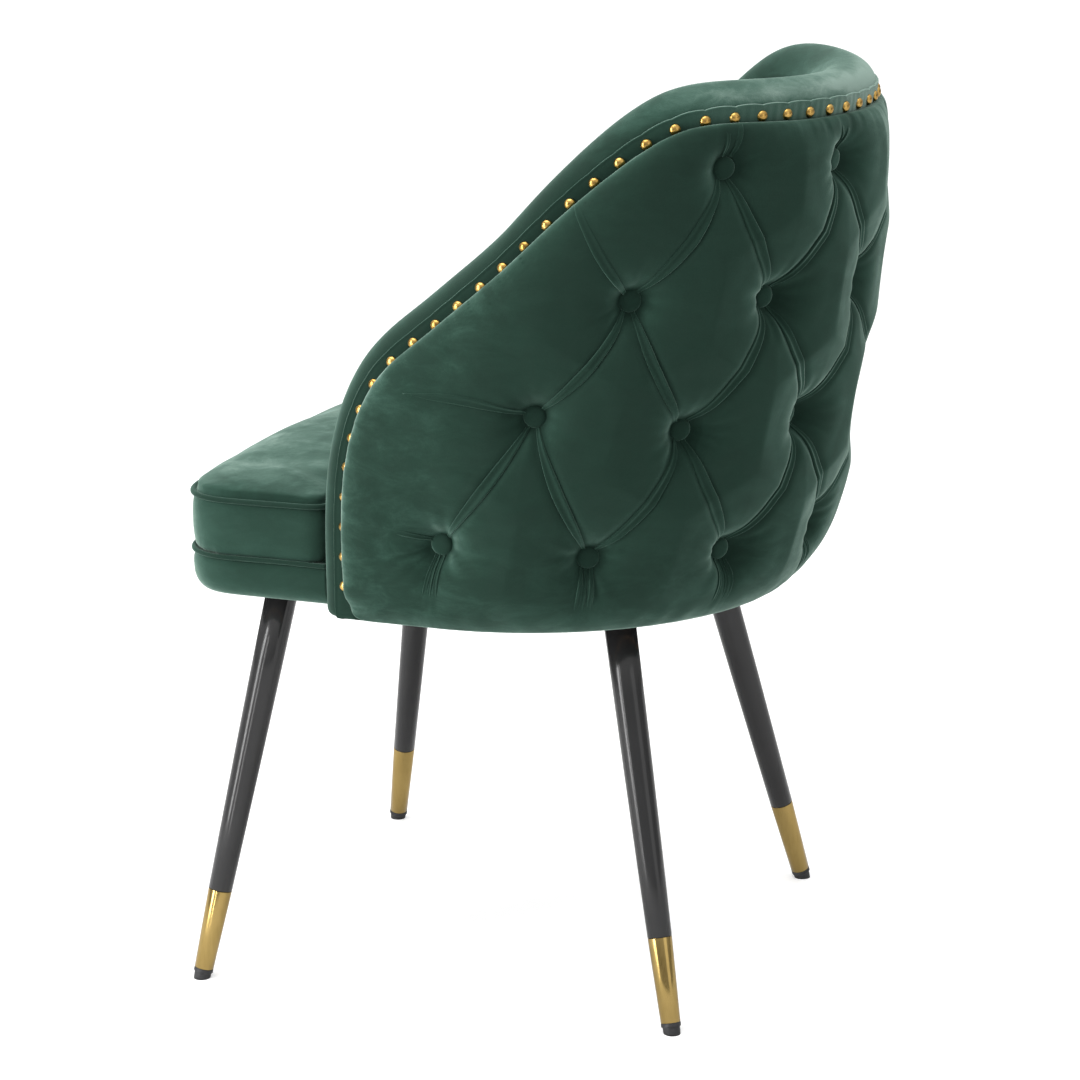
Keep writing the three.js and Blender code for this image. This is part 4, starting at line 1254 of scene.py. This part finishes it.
def inflate(piece, held, pressure, frames, cap):
    """Blows a pad up as cloth round its held points, each point moving no further than the cap."""
    group = piece.vertex_groups.new(name="held")
    group.add([int(k) for k in np.flatnonzero(held)], 1.0, "REPLACE")
    start = coordinates(piece.data)
    pick(piece)
    bpy.ops.object.modifier_add(type="CLOTH")
    cloth = piece.modifiers[-1]
    for name, value in dict(
        quality=6, vertex_group_mass="held", use_pressure=True, uniform_pressure_force=pressure,
        tension_stiffness=12, compression_stiffness=12, bending_stiffness=0.6,
    ).items():
        setattr(cloth.settings, name, value)
    cloth.settings.effector_weights.gravity = 0
    cloth.point_cache.frame_start, cloth.point_cache.frame_end = 1, frames
    for now in range(1, frames + 1):
        bpy.context.scene.frame_set(now)
    shape = piece.evaluated_get(bpy.context.evaluated_depsgraph_get())
    end = coordinates(shape.data)
    piece.modifiers.remove(cloth)
    bpy.context.scene.frame_set(1)
    move = end - start
    size = np.linalg.norm(move, axis=1)
    move *= (np.minimum(size, cap) / np.maximum(size, 1e-9))[:, None]
    set_coordinates(piece.data, start + move)
    piece.data.update()
    piece.vertex_groups.clear()


def border_inset(z):
    """How far inside the seat's outline the cushion's side lies, pinched in at both welts."""
    share = np.clip((z - CUSHION[0].z) / (CUSHION_WELT_LEVEL - CUSHION[0].z), 0, 1)
    side = 1.8 + 2.8 * np.abs(2 * share - 1) ** 3
    return (side + 2.6 * smooth_step(z, CUSHION_WELT_LEVEL - 3 * MM, CUSHION_WELT_LEVEL + 2 * MM)) * MM


def keep_inside_outline(place):
    """Draws the cushion's side in to its border, measured from a line just outside the seat."""
    spare = 3 * MM
    outside = seat_line(-spare, WING_GAP + spare, CUSHION_CORNER + spare)
    gap, step_x, step_y = nearest_on(outside, place[:, 0], place[:, 1])
    need = np.maximum(border_inset(place[:, 2]) + spare - gap, 0) / np.maximum(gap, 1e-6)
    place[:, 0] -= step_x * need
    place[:, 1] -= step_y * need
    skirt = 1 - smooth_step(gap, 12 * MM, 15 * MM)
    drop = 1 - smooth_step(place[:, 2], CUSHION[0].z + 1 * MM, CUSHION[0].z + 9 * MM)
    place[:, 2] -= (CUSHION[0].z - APRON_WELT_LEVEL + 1.6 * MM) * skirt * drop


def set_coordinates(mesh, place):
    mesh.vertices.foreach_set("co", place.ravel())


def lower_crown(place):
    """Flattens the cushion's top before it is blown up."""
    level = CUSHION_WELT_LEVEL + 4 * MM
    above = place[:, 2] > level
    place[above, 2] = level + (place[above, 2] - CUSHION_WELT_LEVEL - 4 * MM) * 0.45


def keep_between_wings(place):
    """Keeps the cushion's rear inside the inside pad, and its wide front part in front of the wings."""
    rear = place[:, 1] > WING_GAP
    radius = np.hypot(place[:, 0], np.maximum(place[:, 1] - arc_y(place[:, 2]), 0))
    squeeze = np.where(rear, np.minimum(1, CUSHION_RADIUS / np.maximum(radius, 1e-6)), 1)
    place[:, 0] *= squeeze
    behind = place[:, 1] - arc_y(place[:, 2])
    place[:, 1] = np.where(behind > 0, arc_y(place[:, 2]) + behind * squeeze, place[:, 1])
    wing_face = WING_GAP - 0.5 * MM
    wide = (np.abs(place[:, 0]) > CUSHION_RADIUS) & (place[:, 1] > wing_face)
    place[wide, 1] = wing_face


def settle_top(place):
    """Slight hollows and swells in the cushion's top, kept under its full height."""
    sag = 0.9 * np.sin(place[:, 0] / 0.047 + 1.1) * np.sin(place[:, 1] / 0.061)
    sag += 0.35 * np.sin(place[:, 0] / 0.018 + place[:, 1] / 0.026)
    top = smooth_step(place[:, 2], CUSHION_WELT_LEVEL + 6 * MM, CUSHION_WELT_LEVEL + 18 * MM)
    place[:, 2] += sag * MM * top
    place[:, 2] = np.minimum(place[:, 2], CUSHION[1].z + 6 * MM)


def make_cushion():
    cushion = copied_solid("seat_cushion", "cushion")
    place = coordinates(cushion.data)
    lower_crown(place)
    set_coordinates(cushion.data, place)
    apply(cushion, "REMESH", mode="VOXEL", voxel_size=5 * MM)
    place = coordinates(cushion.data)
    front = place[:, 1] < WING_GAP + 6 * MM
    at_welt = front & (np.abs(place[:, 2] - CUSHION_WELT_LEVEL) < 6 * MM)
    low = place[:, 2] < CUSHION[0].z + 7 * MM
    inflate(cushion, at_welt | low, 4.0, 20, 22 * MM)
    apply(cushion, "SMOOTH", factor=0.5, iterations=8)
    place = coordinates(cushion.data)
    keep_between_wings(place)
    keep_inside_outline(place)
    settle_top(place)
    set_coordinates(cushion.data, place)
    apply(cushion, "SUBSURF", levels=1, render_levels=1)
    smooth_faces(cushion.data)
    level = coordinates(cushion.data)[:, 2]
    up = smooth_step(level, CUSHION_WELT_LEVEL + 2 * MM, CUSHION_WELT_LEVEL + 14 * MM)
    mark(cushion.data, "brushed", 0.35 + 0.75 * up)
    # Painted light on the cushion's side border, stronger towards the front.
    mark(cushion.data, "nap_and_painted_light", (0.14 + 0.10 * near_front(cushion.data)) * (1 - up) + 0.01 * up)
    finish_piece(cushion, VELVET, "velvet", "seat_cushion")


# ---------- everything that stays as the CAD made it ----------


FINISHES = [
    (("leg_bolt", "back_screw"), ZINC),
    (("leg_",), LACQUER),
    (("ferrule",), BRASS),
    (("glide",), PLASTIC),
    (("seat_board", "back_frame"), PLYWOOD),
    (("seat_foam",), FOAM),
    (("dust_cover",), DUST_CLOTH),
    (("",), VELVET),
]


def dress_cad_nodes():
    for name, node in frame["nodes"].items():
        finish = next(look for starts, look in FINISHES if name.startswith(starts))
        node.data.materials.clear()
        node.data.materials.append(finish)


# ---------- studio ----------


def area_light(name, place, aim, size, power):
    lamp = bpy.data.lights.new(name, "AREA")
    lamp.shape = "RECTANGLE"
    lamp.size, lamp.size_y = size
    lamp.energy = power
    holder = bpy.data.objects.new(name, lamp)
    bpy.context.scene.collection.objects.link(holder)
    holder.location = place
    holder.rotation_euler = (Vector(aim) - Vector(place)).to_track_quat("-Z", "Y").to_euler()


def make_floor():
    clear_selection()
    bpy.ops.mesh.primitive_plane_add(size=24, location=(0, 0, 0))
    floor = bpy.context.object
    floor.name = "studio_floor"
    paint = Look("pale studio floor")
    seen = paint.add("LightPath", "Is Camera Ray")
    paint.set(Specular_IOR_Level=0.0, Emission_Color=(1, 1, 1, 1))
    paint.set(Emission_Strength=paint.math("MULTIPLY", seen, 0.425))
    mottle = paint.noise(3.0, 2.0)
    colour = paint.ramp(mottle, [(0.3, (0.74, 0.74, 0.74)), (0.7, (0.76, 0.76, 0.76))])
    floor.data.materials.append(paint.done(colour, paint.spread(mottle, 0.3, 0.7, 0.9, 1.0)))


def make_studio():
    make_floor()
    world = bpy.data.worlds.new("studio")
    bpy.context.scene.world = world
    world.use_nodes = True
    air = Nodes(world.node_tree, "Generated")
    backdrop = air.tree.nodes["Background"]
    air.fill(backdrop.inputs, "Color", (1, 1, 1, 1))
    air.fill(backdrop.inputs, "Strength", 1.05)
    dome = air.add("Background", "Background",
                   Color=air.ramp(air.height(), [(0.0, (0.24, 0.24, 0.24)), (0.85, (1.25, 1.25, 1.25))]))
    choice = air.add("MixShader", "Shader", Fac=air.add("LightPath", "Is Camera Ray"))
    air.join(dome, choice.node.inputs[1])
    air.join(backdrop.outputs[0], choice.node.inputs[2])
    air.join(choice, air.tree.nodes["World Output"].inputs["Surface"])
    for name, place, aim_height, size, power in (
        ("overhead_softbox", (0.3, -0.3, 2.6), 0.4, (2.0, 1.6), 36),
        ("left_strip", (1.9, -1.5, 1.0), 0.5, (0.55, 2.0), 42),
        ("foot_strip", (1.08, -0.39, 0.46), 0.42, (0.06, 0.9), 2),
        ("right_strip", (1.1, 2.4, 1.0), 0.5, (1.3, 2.0), 7),
    ):
        area_light(name, place, (0, 0, aim_height), size, power)
    bpy.context.scene.view_settings.view_transform = "Standard"


def make_camera():
    camera = bpy.data.cameras.new("camera")
    camera.lens = 111.9
    camera.sensor_width = 36
    camera.clip_start, camera.clip_end = 0.05, 60
    holder = bpy.data.objects.new("camera", camera)
    bpy.context.scene.collection.objects.link(holder)
    azimuth, elevation, distance = math.radians(110.18), math.radians(14.68), 3.183
    aim = Vector((0, -0.0258, 0.3872))
    back = Vector((math.sin(azimuth) * math.cos(elevation), -math.cos(azimuth) * math.cos(elevation),
                   math.sin(elevation)))
    holder.location = aim + back * distance
    holder.rotation_euler = (-back).to_track_quat("-Z", "Y").to_euler()
    bpy.context.scene.camera = holder


make_camera()
make_studio()
dress_cad_nodes()
make_outside_pad()
make_inside_pad()
make_band()
make_nails()
make_buttons()
for corner in ("front_left", "front_right", "rear_left", "rear_right"):
    make_leg(corner)
make_cushion()
make_welt("cushion_welt", "upper_welt", CUSHION_WELT_LEVEL, WING_GAP, CUSHION_CORNER, 2.5 * MM)
make_welt("apron_welt", "lower_welt", APRON_WELT_LEVEL, WING_GAP, 0.0, 2.2 * MM)
make_apron()
